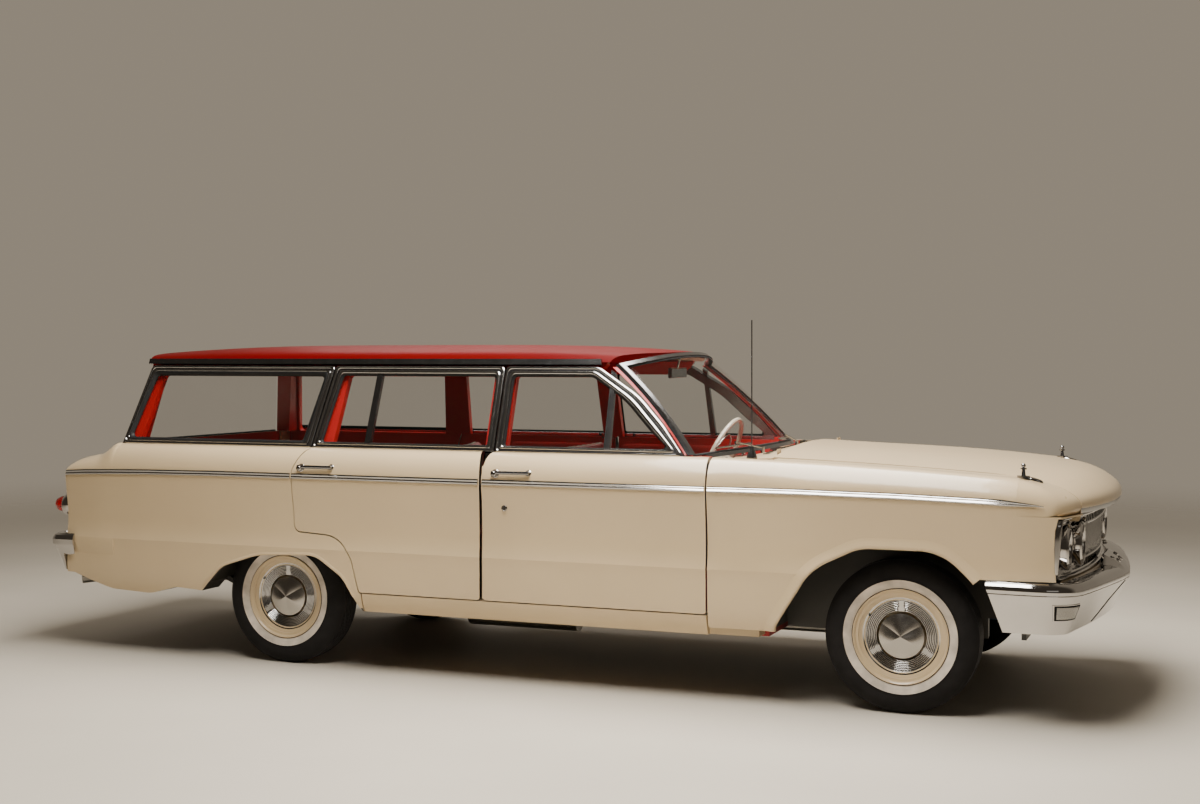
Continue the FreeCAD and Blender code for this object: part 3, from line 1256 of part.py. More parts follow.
def tailgate_glass():
    """The rear glass as it stands when wound up, between the corner posts."""
    base_z = SILL_Z + SEAT_GAP
    top_z = 1362.0 - GAP
    base = polygon([(-2082, -636, base_z), (-2082, 636, base_z), (-2076, 636, base_z), (-2076, -636, base_z)])
    top = polygon([(-2022, -548, top_z), (-2022, 548, top_z), (-2016, 548, top_z), (-2016, -548, top_z)])
    return Part.makeLoft([base, top], True, True)


# Build and write every node.

os.makedirs("parts", exist_ok=True)

for side_name, place in (("left", lambda shape: shape), ("right", mirrored)):
    save("fender_" + side_name, place(fender()))
    save("quarter_" + side_name, place(quarter()))
    save("door_front_" + side_name, place(front_door_shell()))
    save("door_rear_" + side_name, place(rear_door_shell()))
    front_frame = fuse([door_frame(front_door_frame_corners), vent_bar()])
    rear_frame = fuse([door_frame(rear_door_frame_corners), division_bar()])
    save("frame_front_" + side_name, [place(front_frame), place(door_handle(98.0, 905.0))])
    save("frame_rear_" + side_name, [place(rear_frame), place(door_handle(-850.0, 905.0))])
    save("glass_front_" + side_name, place(door_glass(front_door_frame_corners).cut(vent_bar())))
    save("glass_rear_" + side_name, place(door_glass(rear_door_frame_corners).cut(division_bar())))
    save("knuckle_" + side_name, place(knuckle()))
    for end_name, x, track in (("front", FRONT_AXLE_X, FRONT_TRACK), ("rear", REAR_AXLE_X, REAR_TRACK)):
        save("tyre_" + end_name + "_" + side_name, place(placed(tyre(0), x, track / 2, TYRE_RADIUS)))
        save("wheel_" + end_name + "_" + side_name, place(placed(wheel(), x, track / 2, TYRE_RADIUS)))

save("roof", roof())
save("pillars", pillars())
save("fixed_glass", fixed_glass())
save("window_trim", window_trim())
save("hood", hood())
save("cowl", cowl())
save("floor_pan", floor_pan())
save("front_structure", front_structure())
save("front_suspension", front_suspension())
save("engine", engine())
save("rear_axle", rear_axle())
save("leaf_springs", both(leaf_spring()))
save("fuel_tank", fuel_tank())
save("exhaust", exhaust())
save("front_bumper", front_bumper())
save("rear_bumper", rear_bumper())
save("grille", grille())
save("front_lamps", front_lamps())
save("tail_lamps", tail_lamps())
save("dashboard", dashboard())
save("steering_column", steering_column())
save("steering_wheel", steering_wheel())
save("front_seat", front_seat())
save("rear_seat", rear_seat())
save("tailgate", tailgate_shell())
save("tailgate_glass", tailgate_glass())
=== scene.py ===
import json
import math

import bmesh
import bpy
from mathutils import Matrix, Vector
from mathutils.bvhtree import BVHTree


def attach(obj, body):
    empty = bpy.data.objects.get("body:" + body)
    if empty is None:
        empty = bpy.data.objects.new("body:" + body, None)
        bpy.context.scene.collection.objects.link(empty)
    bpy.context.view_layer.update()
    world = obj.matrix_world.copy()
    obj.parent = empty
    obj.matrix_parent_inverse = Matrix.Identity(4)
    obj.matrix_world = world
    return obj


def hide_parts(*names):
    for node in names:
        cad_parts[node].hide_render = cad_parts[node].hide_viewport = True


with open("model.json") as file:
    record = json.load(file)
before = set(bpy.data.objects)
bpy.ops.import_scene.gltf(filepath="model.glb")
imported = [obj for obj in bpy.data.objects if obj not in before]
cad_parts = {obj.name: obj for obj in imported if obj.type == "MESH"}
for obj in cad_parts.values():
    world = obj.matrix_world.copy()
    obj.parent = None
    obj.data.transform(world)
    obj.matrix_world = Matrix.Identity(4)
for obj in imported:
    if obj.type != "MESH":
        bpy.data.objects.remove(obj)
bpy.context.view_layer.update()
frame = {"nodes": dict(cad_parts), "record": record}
nodes = frame["nodes"]


# Sizes of the whole car, in metres, as in the part's source.
FRONT_AXLE_X = 1.6185
REAR_AXLE_X = -1.1625
FRONT_WHEEL_Y = 0.6985
REAR_WHEEL_Y = 0.692
AXLE_Z = 0.302
TYRE_RADIUS = 0.302
SILL_HALF_WIDTH = 0.786
SILL_Z = 0.985
RAIL_HALF_WIDTH = 0.652
RAIL_Z = 1.366
LEAN = math.atan2(SILL_HALF_WIDTH - RAIL_HALF_WIDTH, RAIL_Z - SILL_Z)
DOOR_SPLIT_TOP_X = -0.112
REAR_DOOR_REAR_X = -1.059
HALF_GAP = 0.0025
FRAME_FOOT = 0.75
TAIL_X = -2.322
LAMP_Z = 0.672
LAMP_YS = (0.706, 0.528)
TAIL_LAMP_Y = 0.788
TAIL_LAMP_Z = 0.684
COLUMN_FOOT = Vector((1.0657, 0.38, 0.672))
COLUMN_HUB = Vector((0.548, 0.38, 0.91))
SIDES = (("left", 1), ("right", -1))

IVORY = (0.62, 0.475, 0.288)
RED = (0.095, 0.0016, 0.002)
CABIN_RED = (0.42, 0.01, 0.01)
CREAM = (0.7, 0.63, 0.49)
# Dark undercoat of the hidden and under faces, also used as painted shade on the faces inside the door
# gaps.
UNDERCOAT_AND_GAP_SHADE = (0.045, 0.042, 0.036)
WALL_TONE = (0.29, 0.248, 0.192)
DARK_SIDE = (0.06, 0.049, 0.037)


# Shader helpers.

def opaque(colour):
    return (*colour, 1.0)


def shade(colour, factor):
    return tuple(min(1.0, channel * factor) for channel in colour)


class Shader:
    """The node tree of a material or a world, with short ways to add nodes to it."""

    def __init__(self, owner, end="Principled BSDF"):
        owner.use_nodes = True
        self.owner = owner
        self.nodes = owner.node_tree.nodes
        self.links = owner.node_tree.links
        self.end = self.nodes[end]

    def put(self, socket, value):
        """Link a socket to the value, or set the value on it."""
        if isinstance(value, bpy.types.NodeSocket):
            self.links.new(value, socket)
        else:
            socket.default_value = value

    def set(self, name, value):
        """Give an input of the last node its value."""
        self.put(self.end.inputs[name], value)

    def node(self, kind, inputs, **settings):
        made = self.nodes.new("ShaderNode" + kind)
        for name, value in settings.items():
            setattr(made, name, value)
        for name, value in inputs.items():
            self.put(made.inputs[name], value)
        return made

    def coords(self, which="Object"):
        return self.node("TexCoord", {}).outputs[which]

    def place(self, axis):
        """Where a point lies along an axis of its object."""
        return self.node("SeparateXYZ", {"Vector": self.coords()}).outputs[axis]

    def facing(self, axis):
        """How far a face looks along an axis of its object."""
        return self.node("SeparateXYZ", {"Vector": self.coords("Normal")}).outputs[axis]

    def noise(self, scale, detail=4.0):
        inputs = {"Scale": scale, "Detail": detail, "Vector": self.coords()}
        return self.node("TexNoise", inputs).outputs["Fac"]

    def ramp(self, source, low, high):
        """A colour that runs from low to high over the middle of the source's range."""
        made = self.node("ValToRGB", {"Fac": source})
        for element, position, colour in zip(made.color_ramp.elements, (0.35, 0.65), (low, high)):
            element.position = position
            element.color = opaque(colour)
        return made.outputs["Color"]

    def drift(self, colour, scale=1.4, low=0.955, high=1.03):
        """A colour whose tone drifts slowly over the surface."""
        return self.ramp(self.noise(scale), shade(colour, low), shade(colour, high))

    def spread(self, source, low, high):
        return self.node("MapRange", {"Value": source, "To Min": low, "To Max": high}).outputs["Result"]

    def math(self, operation, first, second=0.5):
        return self.node("Math", {0: first, 1: second}, operation=operation).outputs[0]

    def absolute(self, source):
        return self.math("ABSOLUTE", source)

    def below(self, source, limit):
        return self.math("LESS_THAN", source, limit)

    def above(self, source, limit):
        return self.math("GREATER_THAN", source, limit)

    def both(self, first, second):
        return self.math("MULTIPLY", first, second)

    def either(self, first, second):
        return self.math("MAXIMUM", first, second)

    def mix(self, factor, first, second):
        """The first colour where the factor is 0, and the second where it is 1."""
        inputs = {"Factor": factor, "A": first, "B": second}
        return self.node("Mix", inputs, data_type="RGBA").outputs["Result"]

    def bump(self, source, strength, distance):
        made = self.node("Bump", {"Strength": strength, "Distance": distance, "Height": source})
        self.set("Normal", made.outputs["Normal"])


def new_paint(name):
    return Shader(bpy.data.materials.new(name))


# Enamels. A zone gives a factor that is 1 where a panel shows its second colour.

def door_inside(paint):
    """The cabin face of a door: within the inner wall, or behind the glass along the top."""
    across = paint.absolute(paint.place("Y"))
    behind_glass = paint.both(paint.below(across, 0.766), paint.above(paint.place("Z"), 0.9835))
    return paint.either(paint.below(across, 0.7275), behind_glass)


def door_gap_painted_shade(paint):
    """Painted shade: the edges of a door that lie inside its gaps, where the gaps' shade falls."""
    upright = paint.above(paint.absolute(paint.facing("X")), 0.6)
    edge = paint.either(upright, paint.below(paint.facing("Z"), -0.7))
    return paint.both(edge, paint.above(paint.absolute(paint.place("Y")), 0.728))


def fender_inside(paint):
    """The hidden face of a fender: what looks inward or down."""
    outward = paint.both(paint.facing("Y"), paint.math("SIGN", paint.place("Y")))
    return paint.either(paint.below(outward, -0.35), paint.below(paint.facing("Z"), -0.55))


def under_face(paint):
    """What looks down."""
    return paint.below(paint.facing("Z"), -0.25)


def gate_inside(paint):
    """The cabin face of the tailgate: what looks forward."""
    return paint.above(paint.facing("X"), 0.35)


def cowl_front(paint):
    """The firewall below the cowl's painted top."""
    return paint.below(paint.place("Z"), 0.955)


def quarter_inside(paint):
    """The cabin face of the rear quarter, ahead of the tail's opening."""
    return paint.both(door_inside(paint), paint.above(paint.place("X"), -2.04))


def post_gap_painted_shade(paint):
    """Painted shade on the outer part of the posts below the windows, which only shows through the door
    gaps.
    """
    outer = paint.above(paint.absolute(paint.place("Y")), 0.7255)
    return paint.both(outer, paint.below(paint.place("Z"), 0.984))


def wheel_room(paint):
    """The room about the rear wheel, seen through the arch."""
    run = paint.math("ADD", paint.place("X"), -REAR_AXLE_X)
    rise = paint.math("ADD", paint.place("Z"), -0.32)
    square = paint.math("ADD", paint.both(run, run), paint.both(rise, rise))
    near = paint.below(paint.math("SQRT", square), 0.3485)
    return paint.both(near, paint.below(paint.absolute(paint.place("Y")), 0.853))


def gloss(paint, colour, low, high, coat, coat_roughness=0.07, grain=8.0):
    """Gloss enamel: a sheen that varies from low to high, a clear coat and a fine orange peel."""
    paint.set("Base Color", colour)
    paint.set("Roughness", paint.spread(paint.noise(grain), low, high))
    paint.set("Coat Weight", coat)
    paint.set("Coat Roughness", coat_roughness)
    paint.bump(paint.noise(420.0, 2.0), 0.03, 0.0004)
    return paint.owner


def enamel(name, colour, roughness, coat):
    paint = new_paint(name)
    return gloss(paint, paint.drift(colour), roughness * 0.9, roughness * 1.15, coat, 0.06, 9.0)


def zoned_enamel(name, outside, inside, zone, roughness=0.3, coat=0.5, specular=0.5):
    """Gloss enamel in two colours, the second one in the zone."""
    paint = new_paint(name)
    colour = paint.mix(zone(paint), paint.drift(outside), paint.drift(inside, 3.0))
    paint.set("Specular IOR Level", specular)
    return gloss(paint, colour, roughness * 0.9, roughness * 1.15, coat)


def door_enamel():
    """The doors: ivory outside, red in the cabin, and painted shade on the edges inside the gaps."""
    paint = new_paint("door_enamel")
    colour = paint.mix(door_inside(paint), paint.drift(IVORY), paint.drift(CABIN_RED, 3.0))
    # Painted shade, a darkened undercoat tone, on the door's edges inside the gaps.
    colour = paint.mix(door_gap_painted_shade(paint), colour, paint.drift(shade(UNDERCOAT_AND_GAP_SHADE, 0.6), 5.0))
    return gloss(paint, colour, 0.27, 0.34, 0.5)


def quarter_enamel():
    """The rear quarters: ivory outside, red in the cabin, and dark underneath and in the wheel's room."""
    paint = new_paint("quarter_enamel")
    colour = paint.mix(quarter_inside(paint), paint.drift(IVORY), paint.drift(CABIN_RED, 3.0))
    underneath = paint.both(paint.below(paint.facing("Z"), -0.5), paint.below(paint.place("Z"), 0.7))
    dark = paint.either(wheel_room(paint), underneath)
    colour = paint.mix(dark, colour, paint.drift(UNDERCOAT_AND_GAP_SHADE, 5.0))
    return gloss(paint, colour, 0.27, 0.34, 0.45)


def floor_enamel():
    """The floor pan: red mat in the cabin, ivory on the sills' outer skin, dark underneath."""
    paint = new_paint("floor_enamel")
    low = paint.either(paint.below(paint.facing("Z"), -0.4), paint.below(paint.place("X"), -2.27))
    colour = paint.mix(low, paint.drift(shade(CABIN_RED, 0.8), 4.0), paint.drift(UNDERCOAT_AND_GAP_SHADE, 5.0))
    outer = paint.above(paint.absolute(paint.place("Y")), 0.7275)
    paint.set("Base Color", paint.mix(outer, colour, paint.drift(IVORY)))
    paint.set("Roughness", paint.spread(paint.noise(30.0), 0.34, 0.5))
    paint.bump(paint.noise(160.0), 0.08, 0.0006)
    return paint.owner


# Metal, rubber, glass and vinyl.

def bright_metal(name, colour, roughness, brush=0.0):
    """Chrome or polished stainless, with a faint brushed or hazy variation."""
    paint = new_paint(name)
    paint.set("Metallic", 1.0)
    paint.set("Base Color", paint.drift(colour, 5.0, 0.93))
    paint.set("Roughness", paint.spread(paint.noise(30.0), roughness * 0.7, roughness * 1.4))
    paint.bump(paint.noise(260.0, 3.0), 0.02 + brush, 0.0003)
    return paint.owner


def rubber(name, colour, roughness, grain=180.0, depth=0.12):
    paint = new_paint(name)
    paint.set("Base Color", paint.drift(colour, 14.0, 0.8, 1.25))
    paint.set("Roughness", paint.spread(paint.noise(24.0), roughness * 0.85, min(1.0, roughness * 1.15)))
    paint.set("Specular IOR Level", 0.25)
    paint.bump(paint.noise(grain, 5.0), depth, 0.0008)
    return paint.owner


def tread_rubber():
    """Tyre rubber with fine cross cuts around the tread, turned about the wheel's own axle."""
    paint = new_paint("tread_rubber")
    turned_coords = paint.node("Mapping", {"Rotation": (math.pi / 2, 0.0, 0.0), "Vector": paint.coords()})
    angle = paint.node("TexGradient", {"Vector": turned_coords.outputs["Vector"]}, gradient_type="RADIAL")
    across = paint.place("Y")
    skew = paint.both(paint.math("PINGPONG", across, 0.012), 3.0)
    turns = paint.math("ADD", paint.both(angle.outputs["Fac"], 92.0), skew)
    cuts = paint.above(paint.math("FRACT", turns), 0.16)
    beside_tread = paint.math("SUBTRACT", 1.0, paint.below(paint.absolute(across), 0.058))
    paint.set("Base Color", paint.ramp(paint.noise(14.0), (0.01, 0.01, 0.011), (0.019, 0.018, 0.018)))
    paint.set("Roughness", 0.62)
    paint.bump(paint.either(cuts, beside_tread), 0.8, 0.002)
    return paint.owner


def cast_iron(name, colour):
    paint = new_paint(name)
    paint.set("Base Color", paint.ramp(paint.noise(22.0, 8.0), shade(colour, 0.7), shade(colour, 1.4)))
    paint.set("Metallic", 0.4)
    paint.set("Roughness", paint.spread(paint.noise(60.0), 0.5, 0.8))
    paint.bump(paint.noise(300.0, 6.0), 0.35, 0.0012)
    return paint.owner


def clear_glass(name, tint, density):
    """Thin automotive glass: mostly clear, with a green cast and a mirror-like skin."""
    paint = new_paint(name)
    paint.set("Base Color", opaque(tint))
    paint.set("Roughness", 0.0)
    paint.set("IOR", 1.5)
    paint.set("Alpha", paint.spread(paint.noise(2.0), density * 0.9, density * 1.1))
    return paint.owner


def fluted_lens(name, colour, density, pitch):
    """A pressed lens: fine upright flutes under a clear face."""
    paint = new_paint(name)
    paint.set("Base Color", paint.drift(colour, 6.0))
    paint.set("Roughness", 0.05)
    paint.set("Alpha", density)
    wave = paint.node("TexWave", {"Scale": pitch, "Vector": paint.coords()}, bands_direction="Y")
    paint.bump(wave.outputs["Fac"], 0.5, 0.002)
    return paint.owner


def vinyl(name, colour, roughness=0.42):
    """Grained upholstery vinyl."""
    paint = new_paint(name)
    grain = paint.node("TexVoronoi", {"Scale": 520.0, "Vector": paint.coords()})
    paint.set("Base Color", paint.drift(colour, 6.0, 0.88, 1.08))
    paint.set("Roughness", paint.spread(paint.noise(40.0), roughness * 0.85, roughness * 1.15))
    paint.set("Sheen Weight", 0.12)
    paint.bump(grain.outputs["Distance"], 0.25, 0.0006)
    return paint.owner


materials = {
    "body_paint": door_enamel(),
    # The posts' second colour is painted shade where they show through the door gaps.
    "posts": zoned_enamel("red_post_enamel", CABIN_RED, shade(UNDERCOAT_AND_GAP_SHADE, 0.5), post_gap_painted_shade, 0.34, 0.3),
    "quarter": quarter_enamel(),
    "fender": zoned_enamel("ivory_fender_enamel", IVORY, UNDERCOAT_AND_GAP_SHADE, fender_inside),
    "hood": zoned_enamel("ivory_hood_enamel", IVORY, UNDERCOAT_AND_GAP_SHADE, under_face),
    "gate": zoned_enamel("ivory_gate_enamel", IVORY, CABIN_RED, gate_inside),
    "cowl": zoned_enamel("ivory_cowl_enamel", IVORY, UNDERCOAT_AND_GAP_SHADE, cowl_front),
    "floor": floor_enamel(),
    "ivory": enamel("ivory_enamel_plain", IVORY, 0.28, 0.5),
    "roof_paint": zoned_enamel("red_roof_enamel", RED, CREAM, under_face, 0.42, 0.0, 0.03),
    "interior_paint": enamel("red_cabin_enamel", CABIN_RED, 0.34, 0.3),
    "bright_trim": bright_metal("polished_stainless", (0.5, 0.495, 0.49), 0.13),
    "bright_chrome": bright_metal("chrome_plate", (0.5, 0.485, 0.47), 0.06),
    "grooved_frame": bright_metal("grooved_frame", (0.26, 0.26, 0.27), 0.2),
    "brushed_steel": bright_metal("brushed_cover", (0.44, 0.42, 0.39), 0.22, 0.05),
    "grille_metal": bright_metal("bright_grille", (0.55, 0.54, 0.53), 0.12),
    "window_glass": clear_glass("clear_window", (0.02, 0.03, 0.026), 0.05),
    "lamp_glass": fluted_lens("lamp_glass", (0.86, 0.88, 0.87), 0.22, 34.0),
    "tail_lens": fluted_lens("red_lens", (0.45, 0.006, 0.006), 1.0, 60.0),
    "tyre_rubber": rubber("tyre_rubber", (0.01, 0.009, 0.009), 0.8),
    "tread_rubber": tread_rubber(),
    "wheel_paint": enamel("ivory_wheel_enamel", shade(IVORY, 0.97), 0.3, 0.4),
    "chassis_iron": cast_iron("chassis_iron", (0.025, 0.025, 0.026)),
    "chassis_paint": enamel("chassis_black", UNDERCOAT_AND_GAP_SHADE, 0.55, 0.1),
    "engine_iron": cast_iron("engine_iron", (0.05, 0.1, 0.14)),
    "spring_steel": cast_iron("spring_steel", (0.035, 0.033, 0.03)),
    "pipe_steel": bright_metal("pipe_steel", (0.34, 0.32, 0.29), 0.45, 0.2),
    "wheel_plastic": enamel("ivory_plastic", CREAM, 0.25, 0.4),
    "seat_vinyl": vinyl("red_vinyl", CABIN_RED),
    "cream_vinyl": vinyl("cream_vinyl", CREAM),
    "whitewall": rubber("whitewall", (0.6, 0.53, 0.45), 0.55, 90.0, 0.05),
    "black_rubber": rubber("black_rubber", (0.012, 0.012, 0.012), 0.5),
    # Near black: the colour of truly dark parts, and painted shade laid in grooves, slots, seams and gaps.
    "dark_gap": rubber("black_and_painted_shade", (0.006, 0.006, 0.006), 0.9),
}

# Nodes that wear another material than the one their slot names.
special_finish = {
    "hood": "hood",
    "tailgate": "gate",
    "cowl": "cowl",
    "floor_pan": "floor",
    "front_structure": "chassis_paint",
    "pillars": "posts",
    "window_trim": "grooved_frame",
}
for side_name in ("left", "right"):
    special_finish["fender_" + side_name] = "fender"
    special_finish["quarter_" + side_name] = "quarter"
    special_finish["frame_front_" + side_name] = "grooved_frame"
    special_finish["frame_rear_" + side_name] = "grooved_frame"


def dress_nodes():
    slot_of_node = {entry["node"]: entry["material_slot"] for entry in frame["record"]["subparts"]}
    for name, node in nodes.items():
        node.data.materials.clear()
        node.data.materials.append(materials[special_finish.get(name, slot_of_node[name])])


dress_nodes()


# Mesh helpers.

def smooth(mesh, angle=40.0):
    """Smooth shading that keeps sharp edges."""
    mesh.shade_smooth()
    mesh.set_sharp_from_angle(angle=math.radians(angle))


class Form:
    """Vertices and faces gathered into one mesh, each face with a material of its own."""

    def __init__(self):
        self.verts = []
        self.faces = []
        self.finishes = []

    def add(self, verts, faces, finish):
        start = len(self.verts)
        self.verts.extend(tuple(vert) for vert in verts)
        self.faces.extend(tuple(start + i for i in face) for face in faces)
        self.finishes.extend([finish] * len(faces))

    def build(self, name, body, place=(0.0, 0.0, 0.0), angle=40.0, replaces=None):
        """One object that rides on the body, and in place of a CAD node where one is named."""
        mesh = bpy.data.meshes.new(name)
        mesh.from_pydata(self.verts, [], self.faces)
        names = sorted(set(self.finishes))
        for finish in names:
            mesh.materials.append(materials[finish])
        for polygon, finish in zip(mesh.polygons, self.finishes):
            polygon.material_index = names.index(finish)
        form = bmesh.new()
        form.from_mesh(mesh)
        bmesh.ops.remove_doubles(form, verts=form.verts, dist=0.00001)
        bmesh.ops.recalc_face_normals(form, faces=form.faces)
        form.to_mesh(mesh)
        form.free()
        smooth(mesh, angle)
        made = bpy.data.objects.new(name, mesh)
        made.location = place
        bpy.context.collection.objects.link(made)
        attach(made, body)
        if replaces is not None:
            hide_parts(replaces)
        return made


def grid(form, rows, finish, wrap_row=False, wrap_rows=False):
    """Faces between rows of points, every row with the same count."""
    count = len(rows[0])
    verts = [point for row in rows for point in row]
    faces = []
    row_total = len(rows) if wrap_rows else len(rows) - 1
    point_total = count if wrap_row else count - 1
    for i in range(row_total):
        for j in range(point_total):
            a = i * count + j
            b = i * count + (j + 1) % count
            c = ((i + 1) % len(rows)) * count + (j + 1) % count
            d = ((i + 1) % len(rows)) * count + j
            faces.append((a, b, c, d))
    form.add(verts, faces, finish)


def block(form, low, high, finish):
    """A box between two corners."""
    (x0, y0, z0), (x1, y1, z1) = low, high
    verts = [(x, y, z) for z in (z0, z1) for y in (y0, y1) for x in (x0, x1)]
    faces = [(0, 2, 3, 1), (4, 5, 7, 6), (0, 1, 5, 4), (2, 6, 7, 3), (0, 4, 6, 2), (1, 3, 7, 5)]
    form.add(verts, faces, finish)


def full_turn(count):
    """Angles evenly round a circle."""
    return [2 * math.pi * k / count for k in range(count)]


def ring_points(centre, side, up, radius, sides):
    return [centre + side * (radius * math.cos(turn)) + up * (radius * math.sin(turn))
            for turn in full_turn(sides)]


def rod(form, points, radius, finish, sides=10, closed=False):
    """A round bar along the points, with flat ends."""
    path = [Vector(point) for point in points]
    last = len(path) - 1
    rows = []
    side = None
    for i, here in enumerate(path):
        if closed:
            ahead = (path[(i + 1) % len(path)] - path[i - 1]).normalized()
        else:
            ahead = (path[min(i + 1, last)] - path[max(i - 1, 0)]).normalized()
        if side is None:
            side = ahead.orthogonal().normalized()
        side = (side - ahead * side.dot(ahead)).normalized()
        rows.append(ring_points(here, side, ahead.cross(side), radius, sides))
    grid(form, rows, finish, wrap_row=True, wrap_rows=closed)
    if not closed:
        form.add(rows[0], [tuple(range(sides))], finish)
        form.add(rows[-1], [tuple(range(sides))], finish)


def turned(form, profile, start, axis, finish, segments=32):
    """A solid of revolution: profile points are (distance along the axis, radius)."""
    origin = Vector(start)
    along = Vector(axis).normalized()
    side = along.orthogonal().normalized()
    up = along.cross(side)
    rows = []
    for run, radius in profile:
        rows.append(ring_points(origin + along * run, side, up, max(radius, 0.00002), segments))
    grid(form, rows, finish, wrap_row=True)


def rounded_outline(corners, steps=6):
    """Points of a closed outline. Each corner is (x, z, radius) and becomes the same count of points."""
    count = len(corners)
    points = []
    for i in range(count):
        x, z, radius = corners[i]
        here = Vector((x, z))
        back = (Vector(corners[i - 1][:2]) - here).normalized()
        ahead = (Vector(corners[(i + 1) % count][:2]) - here).normalized()
        half = math.acos(max(-1.0, min(1.0, back.dot(ahead)))) / 2
        if radius <= 0 or half > math.pi / 2 - 0.01:
            points.extend([(x, z)] * (steps + 1))
            continue
        reach = radius / math.tan(half)
        centre = here + (back + ahead).normalized() * (radius / math.sin(half))
        start = here + back * reach - centre
        end = here + ahead * reach - centre
        sweep = start.angle_signed(end)
        for k in range(steps + 1):
            turn = -sweep * k / steps
            spun = Vector((start.x * math.cos(turn) - start.y * math.sin(turn),
                           start.x * math.sin(turn) + start.y * math.cos(turn)))
            points.append((centre.x + spun.x, centre.y + spun.y))
    return points


def lean_point(x, z, depth, side):
    """A point in the leaning plane of the side windows, depth inward."""
    run = (z - SILL_Z) / math.cos(LEAN)
    y = SILL_HALF_WIDTH - depth * math.cos(LEAN) - run * math.sin(LEAN)
    return (x, side * y, z - depth * math.sin(LEAN))


def tree_of(names):
    """One search tree over several CAD nodes at rest."""
    verts = []
    faces = []
    for name in names:
        mesh = nodes[name].data
        start = len(verts)
        verts.extend(vert.co.copy() for vert in mesh.vertices)
        faces.extend(tuple(start + i for i in polygon.vertices) for polygon in mesh.polygons)
    return BVHTree.FromPolygons(verts, faces)


SKIN_TREE = {side: tree_of([part + "_" + name for part in ("fender", "quarter", "door_front", "door_rear")])
             for name, side in SIDES}


def skin_y(x, z, side):
    """Distance of the body side's outer skin from the middle, or None beside it."""
    hit = SKIN_TREE[side].ray_cast(Vector((x, side * 1.3, z)), Vector((0.0, -side, 0.0)), 0.75)[0]
    return None if hit is None else abs(hit.y)


def side_rows(x_values, section, place, side):
    """Rows of a strip along the body side: section points are (outward, up) about the place."""
    rows = []
    for x in x_values:
        y, z, scale = place(x)
        rows.append([(x, side * (y + out * scale), z + up * scale) for out, up in section])
    return rows


def capped(form, rows, finish):
    """A strip with closed section and flat ends."""
    grid(form, rows, finish, wrap_row=True)
    form.add(rows[0], [tuple(range(len(rows[0])))], finish)
    form.add(rows[-1], [tuple(range(len(rows[-1])))], finish)


def steps_between(start, end, step):
    count = max(1, int(math.ceil(abs(end - start) / step)))
    return [start + (end - start) * i / count for i in range(count + 1)]


def interpolate(table, x):
    """Straight-line value between the (x, value) pairs of a table sorted by x."""
    if x <= table[0][0]:
        return table[0][1]
    for (x0, v0), (x1, v1) in zip(table, table[1:]):
        if x <= x1:
            return v0 + (v1 - v0) * (x - x0) / (x1 - x0)
    return table[-1][1]


# Tyres and wheels.

TREAD_HALF = 0.0535
GROOVE_DEPTH = 0.006
GROOVES = (-0.036, -0.0125, 0.0125, 0.036)
WHITEWALL_OUTER = 0.2225
WHITEWALL_INNER = 0.19
COVER_RADIUS = 0.154
CONE_RADIUS = 0.096
RIB_OUTER = 0.139
RIB_PITCH = 0.0065
TAB_HALF = 0.0125


def tread_radius(u):
    return TYRE_RADIUS - 0.0025 * (u / TREAD_HALF) ** 2


def tyre_profile():
    """Points (outboard, radius) from the inner bead over the tread to the outer bead."""
    sidewall = [(0.056, 0.168), (0.066, 0.18), (0.0725, 0.1885), (0.0745, WHITEWALL_INNER), (0.0785, 0.202),
                (0.0815, 0.214), (0.0822, WHITEWALL_OUTER - 0.001), (0.0838, WHITEWALL_OUTER),
                (0.0838, WHITEWALL_OUTER + 0.003), (0.0822, WHITEWALL_OUTER + 0.005), (0.0822, 0.236),
                (0.0808, 0.252), (0.0765, 0.268), (0.069, 0.2825), (0.059, 0.2935),
                (TREAD_HALF + 0.001, 0.2965)]
    tread = [(-TREAD_HALF, tread_radius(TREAD_HALF))]
    for groove in GROOVES:
        for offset, sunk in ((-0.003, 0.0), (-0.002, GROOVE_DEPTH), (0.002, GROOVE_DEPTH), (0.003, 0.0)):
            tread.append((groove + offset, tread_radius(groove + offset) - sunk))
    tread.append((TREAD_HALF, tread_radius(TREAD_HALF)))
    inner = [(-u, radius) for u, radius in sidewall]
    return inner + tread + list(reversed(sidewall))


def tyre_finish(u, radius):
    if u > 0.06 and WHITEWALL_INNER <= radius <= WHITEWALL_OUTER:
        return "whitewall"
    if abs(u) < TREAD_HALF + 0.0005 and radius > 0.288:
        return "tread_rubber"
    return "tyre_rubber"


def circle_row(u, radius, side, segments):
    """Points round the wheel's axle at a distance u outboard."""
    return [(radius * math.cos(turn), side * u, radius * math.sin(turn)) for turn in full_turn(segments)]


def tyre(name, body, place, side):
    """A tyre with its whitewall and grooved tread, one ring of faces at a time."""
    form = Form()
    profile = tyre_profile()
    rows = [circle_row(u, radius, side, 112) for u, radius in profile]
    for i in range(len(rows) - 1):
        middle_u = (profile[i][0] + profile[i + 1][0]) / 2
        middle_radius = (profile[i][1] + profile[i + 1][1]) / 2
        grid(form, rows[i:i + 2], tyre_finish(middle_u, middle_radius), wrap_row=True)
    grid(form, [rows[-1], rows[0]], "tyre_rubber", wrap_row=True)
    form.build("tyre_" + name + "_dressed", body, place, 50.0, replaces="tyre_" + name)


